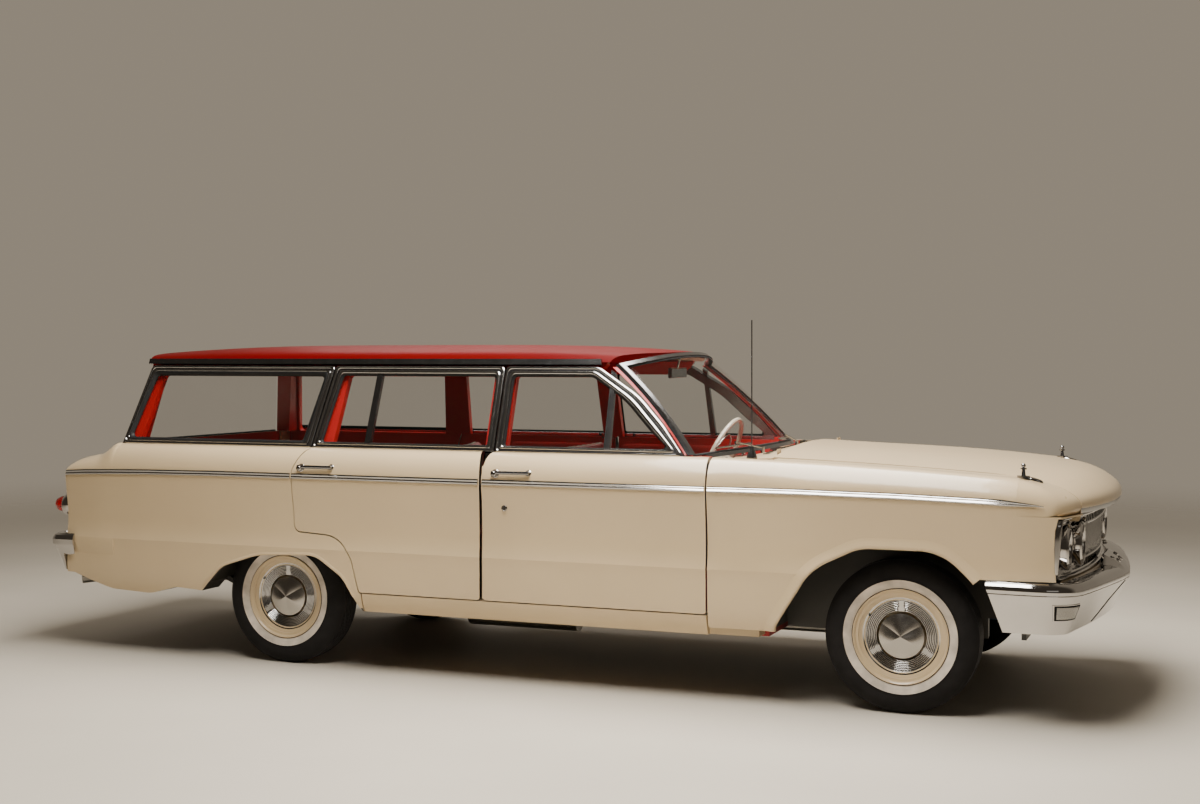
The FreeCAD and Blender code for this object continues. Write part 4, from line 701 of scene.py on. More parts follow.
def cover_height(radius, turn):
    """Outboard height of the wheel cover's face at a radius and an angle."""
    third = 2 * math.pi / 3
    off_ridge = abs((turn - math.pi / 2 + third / 2) % third - third / 2)
    if radius <= CONE_RADIUS:
        share = radius / CONE_RADIUS
        ridge = max(0.0, 1 - off_ridge / (third / 2))
        return 0.074 - 0.026 * share + 0.0075 * (ridge - 0.4) * share * (1 - share) * 4
    if radius <= RIB_OUTER:
        base = 0.045 + 0.004 * (radius - CONE_RADIUS) / (RIB_OUTER - CONE_RADIUS)
        if off_ridge * radius < TAB_HALF:
            return base + 0.003
        return base + 0.0032 * abs(math.sin(math.pi * (radius - CONE_RADIUS) / RIB_PITCH))
    share = (radius - RIB_OUTER) / (COVER_RADIUS - RIB_OUTER)
    return 0.049 + 0.0075 * math.sin(share * math.pi / 2)


def wheel_cover(form, side):
    """The bright cover: a cone with three ridges, ribbed rings whose grooves are dark, partly black paint
    and partly painted shade, and a rolled edge.
    """
    segments = 168
    radii = [0.0005] + [CONE_RADIUS * i / 12 for i in range(1, 13)]
    radii += [CONE_RADIUS + 0.0004 + RIB_PITCH / 6 * i for i in range(40) if
              CONE_RADIUS + RIB_PITCH / 6 * i < RIB_OUTER - 0.0005]
    radii += [RIB_OUTER + 0.0004, 0.1425, 0.146, 0.15, COVER_RADIUS]
    rows = []
    for radius in radii:
        rows.append([(radius * math.cos(turn), side * cover_height(radius, turn), radius * math.sin(turn))
                     for turn in full_turn(segments)])
    cone_rows = [row for row, radius in zip(rows, radii) if radius <= CONE_RADIUS]
    outer_rows = [row for row, radius in zip(rows, radii) if radius >= CONE_RADIUS]
    grid(form, cone_rows, "brushed_steel", wrap_row=True)
    grid(form, outer_rows, "bright_trim", wrap_row=True)
    # Groove bottoms: black paint, with painted shade added in the grooves.
    for groove in range(1, 7):
        radius = CONE_RADIUS + RIB_PITCH * groove
        rise = 0.004 * (radius - CONE_RADIUS) / (RIB_OUTER - CONE_RADIUS)
        height = cover_height(CONE_RADIUS + 0.0001, 0.0) + rise + 0.0013
        sides = (radius - 0.0011, radius + 0.0011)
        grid(form, [circle_row(height, run, side, segments) for run in sides], "dark_gap", wrap_row=True)
    edge = [(0.0565, COVER_RADIUS), (0.056, 0.1565), (0.0525, 0.158), (0.047, 0.158)]
    grid(form, [circle_row(u, radius, side, segments) for u, radius in edge], "bright_trim", wrap_row=True)


def wheel(name, body, place, side):
    """The pressed cream rim under its bright cover, with the drum side closed behind."""
    form = Form()
    wheel_cover(form, side)
    rim = [(0.0465, 0.156), (0.045, 0.159), (0.0475, 0.162), (0.052, 0.165), (0.0565, 0.1665),
           (0.059, 0.17), (0.064, 0.173), (0.072, 0.177), (0.077, 0.181), (0.079, 0.185), (0.077, 0.187),
           (0.0735, 0.1865), (0.07, 0.176), (0.068, 0.1655), (0.062, 0.1655), (0.052, 0.1415),
           (-0.052, 0.1415), (-0.062, 0.1655), (-0.068, 0.1655), (-0.074, 0.186), (-0.077, 0.186),
           (-0.074, 0.1615), (-0.054, 0.1315), (0.02, 0.1315), (0.024, 0.12), (-0.02, 0.118),
           (-0.02, 0.0282), (0.03, 0.0282)]
    grid(form, [circle_row(u, radius, side, 96) for u, radius in rim], "wheel_paint", wrap_row=True)
    gap = [(0.07, 0.1775), (0.0745, 0.1868), (0.0735, 0.1895), (0.07, 0.189)]
    grid(form, [circle_row(u, radius, side, 96) for u, radius in gap], "black_rubber", wrap_row=True)
    turn = math.radians(32.0)
    stem = Vector((0.143 * math.cos(turn) * side, 0.0, 0.143 * math.sin(turn)))
    valve = [stem + Vector((0, side * 0.046, 0)), stem + Vector((0, side * 0.063, 0))]
    rod(form, valve, 0.0042, "black_rubber")
    form.build("wheel_" + name + "_dressed", body, place, 28.0,
               replaces="wheel_" + name)


def wheels():
    for end, x, y in (("front", FRONT_AXLE_X, FRONT_WHEEL_Y), ("rear", REAR_AXLE_X, REAR_WHEEL_Y)):
        for side_name, side in SIDES:
            name = end + "_" + side_name
            body = end + "_wheel_" + side_name
            tyre(name, body, (x, side * y, AXLE_Z), side)
            wheel(name, body, (x, side * y, AXLE_Z), side)


wheels()


# Body side: the belt moulding, arch lips, locks and knobs.

BELT_LINE = [(-2.322, 0.84), (-2.2, 0.847), (-2.04, 0.852), (-1.85, 0.856), (-1.5, 0.86), (0.866, 0.86),
             (1.25, 0.861), (1.6185, 0.857), (1.95, 0.847), (2.13, 0.838), (2.2, 0.832)]
BELT_SECTION = [(-0.004, 0.0105), (0.0022, 0.0105), (0.0042, 0.0085), (0.003, 0.003), (0.0048, 0.001),
                (0.007, -0.003), (0.0062, -0.0075), (0.003, -0.01), (-0.004, -0.01)]
BELT_SHADOW = [(-0.004, 0.014), (0.0012, 0.014), (0.002, 0.0125), (0.002, 0.01), (-0.004, 0.01)]
BELT_FRONT_X = 2.166
BELT_TAPER = 0.16


def belt_moulding():
    """The bright strip along the widest line, parted at every door gap."""
    for side_name, side in SIDES:
        def place(x):
            z = interpolate(BELT_LINE, x)
            scale = min(1.0, 0.12 + (BELT_FRONT_X - x) / BELT_TAPER) if x > 1.0 else 1.0
            return (skin_y(x, z, side) or 0.86), z, scale
        runs = (("fender", "body_shell", 0.872, BELT_FRONT_X),
                ("front_door", "front_door_" + side_name, -0.1215, 0.8585),
                ("rear_door", "rear_door_" + side_name, REAR_DOOR_REAR_X + HALF_GAP, -0.14),
                ("quarter", "body_shell", TAIL_X + 0.006, REAR_DOOR_REAR_X - 2 * HALF_GAP))
        for run, body, start, end in runs:
            form = Form()
            x_values = steps_between(start, end, 0.03)
            capped(form, side_rows(x_values, BELT_SECTION, place, side), "bright_trim")
            capped(form, side_rows(x_values, BELT_SHADOW, place, side), "dark_gap")
            form.build("belt_moulding_" + run + "_" + side_name, body, angle=30.0)


DOOR_EDGE_X = -0.097
DOOR_EDGE_SLOPE = 0.1925
FLANGE_END_X = -0.1303


def door_edge_flanges():
    """The folded edge of each front door's skin, which narrows the gap above and below the belly."""
    for side_name, side in SIDES:
        rows = []
        for z in steps_between(0.366, 0.93, 0.012):
            skin = skin_y(-0.09, z, side)
            if skin is None:
                continue
            start = DOOR_EDGE_X - DOOR_EDGE_SLOPE * (skin - 0.74)
            end = FLANGE_END_X + 0.006 * max(0.0, min(1.0, (skin - 0.868) / 0.018))
            fold = [(start + 0.004, -0.001), (start + 0.003, 0.0002), (end + 0.0015, 0.0002), (end, -0.001),
                    (end + 0.0015, -0.004), (start + 0.004, -0.0045)]
            rows.append([(x, side * (skin + out), z) for x, out in fold])
        form = Form()
        capped(form, rows, "ivory")
        form.build("door_edge_" + side_name, "front_door_" + side_name, angle=50.0)


FRONT_ARCH = [(1.141, 0.272, 0.0), (1.141, 0.321, 0.06), (1.29, 0.56, 0.26), (1.48, 0.652, 0.19),
              (1.79, 0.652, 0.21), (1.93, 0.52, 0.3), (2.0, 0.372, 0.02), (2.0, 0.15, 0.0)]
REAR_ARCH = [(-1.556, 0.33, 0.0), (-1.556, 0.331, 0.001), (-1.43, 0.44, 0.12), (-1.24, 0.5, 0.3),
             (-0.945, 0.512, 0.13), (-0.803, 0.418, 0.15), (-0.738, 0.302, 0.04), (-0.716, 0.262, 0.0)]


def dense(points, step):
    """The same open line with points no further apart than the step."""
    line = [points[0]]
    for start, end in zip(points, points[1:]):
        length = math.hypot(end[0] - start[0], end[1] - start[1])
        count = max(1, int(math.ceil(length / step)))
        for i in range(1, count + 1):
            line.append(tuple(a + (b - a) * i / count for a, b in zip(start, end)))
    return line


def arch_lip(name, corners, side, section, low_z, high_x):
    """The rolled edge around a wheel opening: section points are (away from the arch, outward)."""
    outline = rounded_outline(corners, 10)
    line = []
    for point in outline:
        if not line or math.hypot(point[0] - line[-1][0], point[1] - line[-1][1]) > 0.002:
            line.append(point)
    line = dense(line, 0.02)
    rows = []
    for i, (x, z) in enumerate(line):
        before = line[max(i - 1, 0)]
        after = line[min(i + 1, len(line) - 1)]
        run = Vector((after[0] - before[0], after[1] - before[1])).normalized()
        away = Vector((-run.y, run.x))
        if z < low_z or x > high_x:
            continue
        row = []
        for reach, out in section:
            px = x + away.x * max(reach, 0.001)
            pz = z + away.y * max(reach, 0.001)
            skin = skin_y(px, pz, side)
            if skin is None:
                row = None
                break
            row.append((x + away.x * reach, side * (skin + out), z + away.y * reach))
        if row:
            rows.append(row)
    form = Form()
    grid(form, rows, "ivory")
    form.build(name, "body_shell", angle=50.0)


def arch_lips():
    front_section = [(0.0, -0.012), (-0.0015, 0.004), (0.001, 0.0085), (0.007, 0.0105), (0.015, 0.0085),
                     (0.026, 0.0035), (0.038, 0.0008), (0.044, -0.0006)]
    rear_section = [(0.0, -0.012), (-0.001, 0.001), (0.001, 0.0035), (0.005, 0.0042), (0.01, 0.0018),
                    (0.014, -0.0005)]
    for side_name, side in SIDES:
        arch_lip("front_arch_lip_" + side_name, FRONT_ARCH, side, front_section, 0.285, 1.912)
        arch_lip("rear_arch_lip_" + side_name, REAR_ARCH, side, rear_section, 0.335, 0.0)


HANDLE_Z = 0.905
BUTTON_Z = 0.899


def key_cylinder(form, x, z, side):
    y = skin_y(x, z, side)
    turned(form, [(-0.004, 0.0135), (0.003, 0.0135), (0.0048, 0.012), (0.005, 0.0085), (0.004, 0.008),
                  (0.004, 0.0)], (x, side * y, z), (0, side, 0), "bright_chrome", 28)
    # A painted shade block stands in for the key slot.
    block(form, (x - 0.0012, side * (y + 0.0036), z - 0.005), (x + 0.0012, side * (y + 0.0043), z + 0.005),
          "dark_gap")


def handle_fittings(form, handle_x, knob_x, side):
    """The handle's push button, the seats under its two ends, and the lock knob on the sill."""
    button_x = handle_x - 0.16
    button_y = skin_y(button_x, BUTTON_Z, side)
    turned(form, [(0.0, 0.012), (0.006, 0.012), (0.009, 0.0095), (0.0098, 0.0)],
           (button_x, side * (button_y + 0.018), BUTTON_Z), (0, side, 0), "bright_chrome", 28)
    turned(form, [(-0.003, 0.019), (0.0025, 0.019), (0.0045, 0.0165), (0.0045, 0.0)],
           (button_x, side * button_y, BUTTON_Z), (0, side, 0.35), "bright_chrome", 32)
    front_x = handle_x - 0.008
    turned(form, [(-0.003, 0.0135), (0.002, 0.0135), (0.0035, 0.011), (0.0035, 0.0)],
           (front_x, side * skin_y(front_x, HANDLE_Z, side), HANDLE_Z), (0, side, 0.35),
           "bright_chrome", 28)
    turned(form, [(-0.02, 0.0022), (0.004, 0.0022), (0.004, 0.0045), (0.013, 0.0052), (0.018, 0.0038),
                  (0.019, 0.0)], (knob_x, side * 0.7445, SILL_Z), (0, 0, 1), "black_rubber", 16)


def side_fittings():
    """The small fittings of all four doors, with key cylinders on the front ones."""
    for side_name, side in SIDES:
        for door, handle_x, knob_x in (("front_door", 0.098, -0.02), ("rear_door", -0.85, -0.203)):
            form = Form()
            if door == "front_door":
                key_cylinder(form, -0.021, 0.754, side)
            handle_fittings(form, handle_x, knob_x, side)
            name = door + "_fittings_" + side_name
            form.build(name, door + "_" + side_name, angle=35.0)


belt_moulding()
door_edge_flanges()
arch_lips()
side_fittings()


# Windows: beads and rubber on the frames, and the windshield's seal.

def front_door_window(inset):
    rear = DOOR_SPLIT_TOP_X + HALF_GAP + inset
    low = SILL_Z + FRAME_FOOT * inset
    return [(rear, 1.352 - inset, 0.018), (0.322 - 0.6 * inset, 1.352 - inset, 0.06),
            (0.519 - 1.5 * inset, 1.23 - 0.5 * inset, 0.4), (0.643 - 1.5 * inset, 1.107 - 0.5 * inset, 0.5),
            (0.742 - 1.8 * inset, low, 0.01), (rear, low, 0.008)]


def rear_door_window(inset):
    front = DOOR_SPLIT_TOP_X - HALF_GAP - inset
    low = SILL_Z + FRAME_FOOT * inset
    return [(-1.014 + 1.1 * inset, low, 0.008), (-0.957 + inset, 1.352 - inset, 0.016),
            (front, 1.352 - inset, 0.018), (front, low, 0.008)]


def quarter_window(inset):
    low = SILL_Z + FRAME_FOOT * inset
    return [(-2.046 + 0.9 * inset, low, 0.02), (-1.966 + 0.8 * inset, 1.352 - inset, 0.02),
            (-0.962 - 1.2 * inset, 1.352 - inset, 0.014), (-1.019 - 1.2 * inset, low, 0.012)]


def window_bead(form, outline_of, rows, finish, side):
    """A bead all round a window: rows are (inset from the frame's edge, depth inward)."""
    points = []
    for inset, depth in rows:
        points.append([lean_point(x, z, depth, side) for x, z in rounded_outline(outline_of(inset))])
    grid(form, points, finish, wrap_row=True)


OUTER_BEAD = [(0.0008, 0.004), (0.001, -0.0008), (0.003, -0.0028), (0.007, -0.0034), (0.0105, -0.0022),
              (0.0118, 0.0005), (0.012, 0.0012)]
INNER_BEAD = [(0.019, 0.0012), (0.0195, -0.0006), (0.0225, -0.0026), (0.0275, -0.003), (0.031, -0.0014),
              (0.033, 0.0016), (0.0336, 0.007)]
FRAME_SEAL = [(0.0334, 0.003), (0.035, 0.0044), (0.0385, 0.0082), (0.041, 0.0116), (0.0412, 0.0125)]
QUARTER_INNER_BEAD = [(0.016, 0.0012), (0.0165, -0.0006), (0.0195, -0.0024), (0.0235, -0.002),
                      (0.0262, 0.0006), (0.0268, 0.0012)]
QUARTER_SEAL = [(0.0262, 0.001), (0.0275, -0.0012), (0.031, -0.001), (0.037, 0.003), (0.044, 0.01),
                (0.0448, 0.0122)]


def window_dressing():
    """Beads, grooves and seals round the windows of the doors and the rear quarters."""
    for side_name, side in SIDES:
        for door, outline_of in (("front_door", front_door_window), ("rear_door", rear_door_window)):
            form = Form()
            window_bead(form, outline_of, OUTER_BEAD, "bright_trim", side)
            window_bead(form, outline_of, INNER_BEAD, "bright_trim", side)
            # A painted shade strip in the groove between the two beads.
            window_bead(form, outline_of, [(0.012, 0.0004), (0.019, 0.0004)], "dark_gap", side)
            window_bead(form, outline_of, FRAME_SEAL, "black_rubber", side)
            name = door + "_" + side_name
            form.build("window_beads_" + name, name, angle=45.0)
        form = Form()
        window_bead(form, quarter_window, OUTER_BEAD, "bright_trim", side)
        window_bead(form, quarter_window, QUARTER_INNER_BEAD, "bright_trim", side)
        window_bead(form, quarter_window, QUARTER_SEAL, "black_rubber", side)
        form.build("window_beads_quarter_" + side_name, "body_shell", angle=45.0)


SHIELD_BASE_X = 0.915
SHIELD_BASE_Z = 1.003
SHIELD_CORNER_X = 0.773
SHIELD_CORNER_Y = 0.762
SHIELD_HEAD_X = 0.545
SHIELD_HEAD_Z = 1.4
SHIELD_HEAD_CORNER_X = 0.412
SHIELD_HEAD_CORNER_Y = 0.612
SHIELD_BULGE = 0.022
SHIELD_BASE_SLOPE = 0.127
SHIELD_HEAD_SLOPE = 0.376
SHIELD_NORMAL_X = 0.731
SHIELD_NORMAL_Z = 0.681


def shield_point(s, t, depth):
    """A point of the windshield: s runs -1 to 1 across, t runs 0 to 1 up, depth is inward."""
    def up_from(base, head):
        return base + (head - base) * t

    curve = abs(s) ** 2.2
    base_x = SHIELD_BASE_X - (SHIELD_BASE_X - SHIELD_CORNER_X) * curve
    head_x = SHIELD_HEAD_X - (SHIELD_HEAD_X - SHIELD_HEAD_CORNER_X) * curve
    bulge = 4 * SHIELD_BULGE * t * (1 - t)
    x = up_from(base_x, head_x) + bulge
    x_centre = up_from(SHIELD_BASE_X, SHIELD_HEAD_X) + bulge
    slope = up_from(SHIELD_BASE_SLOPE, SHIELD_HEAD_SLOPE)
    z = up_from(SHIELD_BASE_Z, SHIELD_HEAD_Z) + slope * (x - x_centre)
    inward = depth / (SHIELD_NORMAL_X + SHIELD_NORMAL_Z * slope)
    return (x - inward, up_from(SHIELD_CORNER_Y, SHIELD_HEAD_CORNER_Y) * s, z - slope * inward)


def shield_path(margin):
    """Points round the windshield, the margin in from its edge."""
    low = margin / 0.55
    high = 1 - low
    wide = 1 - margin / 0.7
    path = [(wide * (-1 + 2 * i / 24), low) for i in range(25)]
    path += [(wide, low + (high - low) * i / 12) for i in range(1, 13)]
    path += [(wide * (1 - 2 * i / 24), high) for i in range(1, 25)]
    path += [(-wide, high - (high - low) * i / 12) for i in range(1, 12)]
    return path


def windshield_seal():
    """The dark rubber lip round the windshield."""
    form = Form()
    rows = []
    for margin, depth in ((0.0, -0.0012), (0.003, -0.003), (0.008, -0.0026), (0.012, -0.0004),
                          (0.0125, 0.001)):
        rows.append([shield_point(s, t, depth) for s, t in shield_path(margin)])
    grid(form, rows, "black_rubber", wrap_row=True)
    form.build("windshield_seal", "body_shell", angle=60.0)


window_dressing()
windshield_seal()


# Tail and cowl.

def rear_bumper_bolts():
    """Domed bolt heads on the rear bumper's roll, set on the chrome by a search from outside."""
    tree = tree_of(["rear_bumper"])
    dome = [(-0.002, 0.0145), (0.002, 0.014), (0.0055, 0.0105), (0.0075, 0.0055), (0.008, 0.0)]
    form = Form()
    for y in (0.34, 0.66):
        for side in (1, -1):
            hit, normal = tree.ray_cast(Vector((-2.6, side * y, 0.512)), Vector((1, 0, 0)), 1.0)[:2]
            if hit is not None:
                turned(form, dome, hit, normal, "bright_chrome", 24)
    form.build("bumper_bolts", "body_shell", angle=40.0)


def tail_dressing():
    """Chrome collars on the tail lamps, and the tailgate's handle, lock, bright strip and seal."""
    form = Form()
    for side in (1, -1):
        centre = (TAIL_X, side * TAIL_LAMP_Y, TAIL_LAMP_Z)
        turned(form, [(0.004, 0.0515), (-0.006, 0.056), (-0.022, 0.056), (-0.034, 0.053), (-0.044, 0.048),
                      (-0.0455, 0.044), (-0.04, 0.0425)], centre, (1, 0, 0), "bright_chrome", 56)
        turned(form, [(-0.0855, 0.03), (-0.089, 0.031), (-0.0915, 0.0285), (-0.0905, 0.025)],
               centre, (1, 0, 0), "bright_chrome", 40)
    form.build("tail_lamp_collars", "body_shell", angle=40.0)
    gate = Form()
    handle = [(-2.336, -0.075), (-2.352, -0.072), (-2.356, -0.06), (-2.356, 0.06), (-2.352, 0.072),
              (-2.336, 0.075)]
    rod(gate, [(x, y, 0.762) for x, y in handle], 0.0065, "bright_chrome", 12)
    turned(gate, [(0.0, 0.02), (0.004, 0.02), (0.008, 0.016), (0.009, 0.0)],
           (-2.3345, 0.0, 0.805), (-1, 0, 0), "bright_chrome", 32)
    strip = [(-0.004, 0.008), (0.004, 0.008), (0.007, 0.0), (0.004, -0.008), (-0.004, -0.008)]
    rows = [[(-2.329 - out, y, 0.838 + up) for out, up in strip] for y in (-0.632, -0.3, 0.0, 0.3, 0.632)]
    capped(gate, rows, "bright_trim")
    rod(gate, [(-2.0795, -0.633, 0.9875), (-2.0795, 0.633, 0.9875)], 0.006, "black_rubber", 8)
    gate.build("tailgate_fittings", "gate", angle=35.0)


def cowl_grille():
    """Painted shade for the air slots in the panel ahead of the windshield: thin dark sheets on its
    surface.
    """
    tree = tree_of(["cowl"])
    form = Form()
    for i in range(21):
        y = -0.5 + 0.05 * i
        hit = tree.ray_cast(Vector((1.02, y, 1.3)), Vector((0, 0, -1)), 0.5)[0]
        if hit is not None:
            for start in (y - 0.018, y - 0.002):
                block(form, (1.0, start, hit.z - 0.002), (1.04, start + 0.008, hit.z + 0.0012),
                      "dark_gap")
    form.build("cowl_slots", "body_shell")


rear_bumper_bolts()
tail_dressing()
cowl_grille()


# Nose: the fender ends, the bowed grille with its lamps, and the front bumper.

MOUTH_HALF = 0.817
MOUTH_LOW = 0.5505
MOUTH_HIGH = 0.79
MOUTH_CORNER = 0.036
FACE_SIDE_X = 2.2
FACE_BOW = 0.096
FACE_LEAN = 0.022


def face_x(y, z):
    """The grille's surface: bowed forward to the middle and leaning forward to its top."""
    share = min(1.0, abs(y) / MOUTH_HALF)
    lean = FACE_LEAN * (z - MOUTH_LOW) / (MOUTH_HIGH - MOUTH_LOW)
    return FACE_SIDE_X + FACE_BOW * (1 - share * share) + lean


def through(stations, count):
    """Smooth points through the stations, with count steps from each to the next."""
    points = []
    last = len(stations) - 1
    for i in range(last):
        before = Vector(stations[max(i - 1, 0)])
        start = Vector(stations[i])
        end = Vector(stations[i + 1])
        after = Vector(stations[min(i + 2, last)])
        for k in range(count):
            t = k / count
            straight = 2 * start + (end - before) * t
            bend = (2 * before - 5 * start + 4 * end - after) * t * t
            twist = (3 * start - before - 3 * end + after) * t ** 3
            points.append(0.5 * (straight + bend + twist))
    points.append(Vector(stations[-1]))
    return points


NOSE_START_X = 2.07
NOSE_FLOOR = 0.797
SLIVER_X = 1.9
SLIVER_TOP = 0.5526


def fender_copy(name):
    """The fender's own mesh without its boxy nose and the part behind the bumper's end."""
    source = nodes["fender_" + name]
    mesh = source.data.copy()
    made = bpy.data.objects.new("fender_" + name + "_dressed", mesh)
    bpy.context.collection.objects.link(made)
    form = bmesh.new()
    form.from_mesh(mesh)
    for place, normal in (((NOSE_START_X, 0, 0), (1, 0, 0)), ((SLIVER_X, 0, 0), (1, 0, 0)),
                          ((0, 0, NOSE_FLOOR), (0, 0, 1)), ((0, 0, SLIVER_TOP), (0, 0, 1))):
        bmesh.ops.bisect_plane(form, geom=form.verts[:] + form.edges[:] + form.faces[:], plane_co=place,
                               plane_no=normal)
    gone = []
    for face in form.faces:
        middle = face.calc_center_median()
        nose_part = middle.x > NOSE_START_X and middle.z > NOSE_FLOOR
        sliver = middle.x > SLIVER_X and middle.z < SLIVER_TOP
        if nose_part or sliver:
            gone.append(face)
    bmesh.ops.delete(form, geom=gone, context="FACES")
    form.to_mesh(mesh)
    form.free()
    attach(made, "body_shell")
    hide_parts("fender_" + name)


# The lip's edge from the hood gap round to the flank, and the hood's own profile from its top to its tip.
LIP_LINE = [(2.28, 0.66, 0.825), (2.267, 0.705, 0.822), (2.2525, 0.75, 0.818), (2.237, 0.79, 0.812),
            (2.221, 0.822, 0.806), (2.204, 0.844, 0.801), (2.186, 0.856, 0.7985), (2.17, 0.8605, 0.7975)]
HOOD_PROFILE = [(0.0, 0.0), (0.142, 0.049), (0.26, 0.098), (0.378, 0.155), (0.475, 0.212), (0.563, 0.272),
                (0.68, 0.37), (0.771, 0.466), (0.846, 0.563), (0.908, 0.66), (0.955, 0.757), (0.983, 0.854),
                (0.998, 0.951), (1.0, 1.0)]


def nose_cap(name, side):
    """The rounded end of the fender over the lamps, lofted from the fender's skin to the lip's edge."""
    tree = tree_of(["fender_" + name])
    lip = through(LIP_LINE, 4)
    last = len(lip) - 1
    pivot = Vector((NOSE_START_X, side * 0.68, NOSE_FLOOR))
    rows = []
    for i, tip in enumerate(lip):
        share = i / last
        turn = math.radians(98.5 * (1 - share))
        heading = Vector((0, side * math.cos(turn), math.sin(turn)))
        hit = tree.ray_cast(pivot + heading * 0.45, -heading, 0.45)[0]
        top = hit + heading * 0.0003
        row = []
        for run, drop in HOOD_PROFILE:
            x = top.x - 0.004 + (tip.x - top.x + 0.004) * run
            y = abs(top.y) + (tip.y - abs(top.y)) * run
            row.append((x, side * y, top.z + (tip.z - top.z) * drop))
        inward = Vector((-1.0, -0.35 - 1.2 * share)).normalized()
        for fraction, reach in ((0.35, 0.0015), (0.7, 0.005), (1.0, 0.01), (1.0, 0.06)):
            row.append((tip.x + inward.x * reach, side * (tip.y + inward.y * reach),
                        tip.z + (NOSE_FLOOR - 0.0005 - tip.z) * fraction))
        rows.append(row)
    rows.insert(0, [(x, y, z - 0.03) for x, y, z in rows[0]])
    form = Form()
    grid(form, rows, "ivory")
    form.build("fender_nose_" + name, "body_shell", angle=60.0)


def mouth_outline(inset):
    """Points (y, z) round the grille's mouth, the inset in from its edge."""
    half = MOUTH_HALF - inset
    low = MOUTH_LOW + inset
    high = MOUTH_HIGH - inset
    corner = MOUTH_CORNER - inset * 0.5
    return rounded_outline([(-half, low, corner), (-half, high, corner), (half, high, corner),
                            (half, low, corner)])


def mouth_row(inset, reach):
    """Points round the grille's mouth, at a reach forward of its surface."""
    outline = mouth_outline(inset)
    line = dense(outline + [outline[0]], 0.06)[:-1]
    return [(face_x(y, z) + reach, y, z) for y, z in line]


def strip_on_face(form, y0, y1, z0, z1, front, back, finish):
    """A straight-sided block between two places across the grille, following its bow and lean."""
    corners = []
    for reach in (back, front):
        for z in (z0, z1):
            for y in (y0, y1):
                corners.append((face_x(y, z) + reach, y, z))
    faces = [(0, 1, 3, 2), (4, 6, 7, 5), (0, 4, 5, 1), (2, 3, 7, 6), (0, 2, 6, 4), (1, 5, 7, 3)]
    form.add(corners, faces, finish)


def bowed_panel(form, y_from, y_to, z_low, z_high, reach, finish, rise=0.0):
    """A sheet that follows the grille's bow, crowned by the rise halfway up."""
    rows = []
    for z in steps_between(z_low, z_high, (z_high - z_low) / 6):
        share = (z - z_low) / (z_high - z_low)
        crown = rise * 4 * share * (1 - share)
        rows.append([(face_x(y, z) + reach + crown, y, z) for y in steps_between(y_from, y_to, 0.03)])
    grid(form, rows, finish)


BAND_LOW = 0.602
BAND_HIGH = 0.742
LAMP_FIELD_Y = 0.432
RIB_COUNT = 100
SLOT_COUNT = 24
LOUVRE_COUNT = 13
# Rim: (inset, reach forward). Rail: (reach forward, up). Bezel: (reach forward, radius).
MOUTH_RIM = [(0.0, -0.03), (0.0, 0.0), (0.002, 0.0045), (0.006, 0.0065), (0.01, 0.0045), (0.0125, -0.001),
             (0.013, -0.03)]
RAIL_SECTION = [(-0.024, 0.0045), (-0.01, 0.0045), (-0.0065, 0.0), (-0.01, -0.0045), (-0.024, -0.0045)]
LAMP_BEZEL = [(-0.03, 0.069), (-0.002, 0.0685), (0.007, 0.07), (0.011, 0.0725), (0.0115, 0.0765),
              (0.008, 0.08), (0.006, 0.0815), (0.0072, 0.084), (0.004, 0.0868), (-0.022, 0.0872)]


def grille_centre(form):
    """The ribbed band between the lamps, the slot rows above and below it, and the rails between them."""
    bowed_panel(form, -LAMP_FIELD_Y, LAMP_FIELD_Y, BAND_LOW, BAND_HIGH, -0.02, "bright_trim", 0.004)
    for i in range(RIB_COUNT + 1):
        y = -0.428 + 0.856 * i / RIB_COUNT
        strip_on_face(form, y - 0.0022, y + 0.0022, BAND_LOW, BAND_HIGH, -0.0125, -0.022, "grille_metal")
    for i in range(SLOT_COUNT + 1):
        y = -LAMP_FIELD_Y + 2 * LAMP_FIELD_Y * i / SLOT_COUNT
        for low, high in ((0.562, BAND_LOW), (BAND_HIGH, 0.778)):
            strip_on_face(form, y - 0.0045, y + 0.0045, low, high, -0.01, -0.03, "bright_chrome")
    for z in (0.565, BAND_LOW, BAND_HIGH, 0.776):
        rows = [[(face_x(y, z) + reach, y, z + up) for reach, up in RAIL_SECTION]
                for y in steps_between(-0.803, 0.803, 0.03)]
        capped(form, rows, "bright_chrome")


def lamp_field(form, side):
    """The bright panel around a pair of lamps, its louvres and the lamps' bezels."""
    bowed_panel(form, side * LAMP_FIELD_Y, side * 0.803, 0.566, 0.776, -0.022, "bright_chrome", -0.006)
    for i in range(LOUVRE_COUNT):
        z = 0.574 + 0.0162 * i
        strip_on_face(form, side * 0.436, side * 0.47, z, z + 0.005, -0.008, -0.024, "bright_chrome")
    for lamp_y in LAMP_YS:
        turned(form, LAMP_BEZEL, (face_x(lamp_y, LAMP_Z), side * lamp_y, LAMP_Z), (1, 0, 0),
               "bright_chrome", 72)


def grille_piece():
    """The whole grille: a bright surround, a dark back, the centre and the two lamp fields."""
    form = Form()
    grid(form, [mouth_row(inset, reach) for inset, reach in MOUTH_RIM], "bright_chrome", wrap_row=True)
    bowed_panel(form, -0.8, 0.8, 0.56, 0.781, -0.04, "dark_gap")
    grille_centre(form)
    for side in (1, -1):
        lamp_field(form, side)
    form.build("grille_dressed", "body_shell", angle=35.0, replaces="grille")


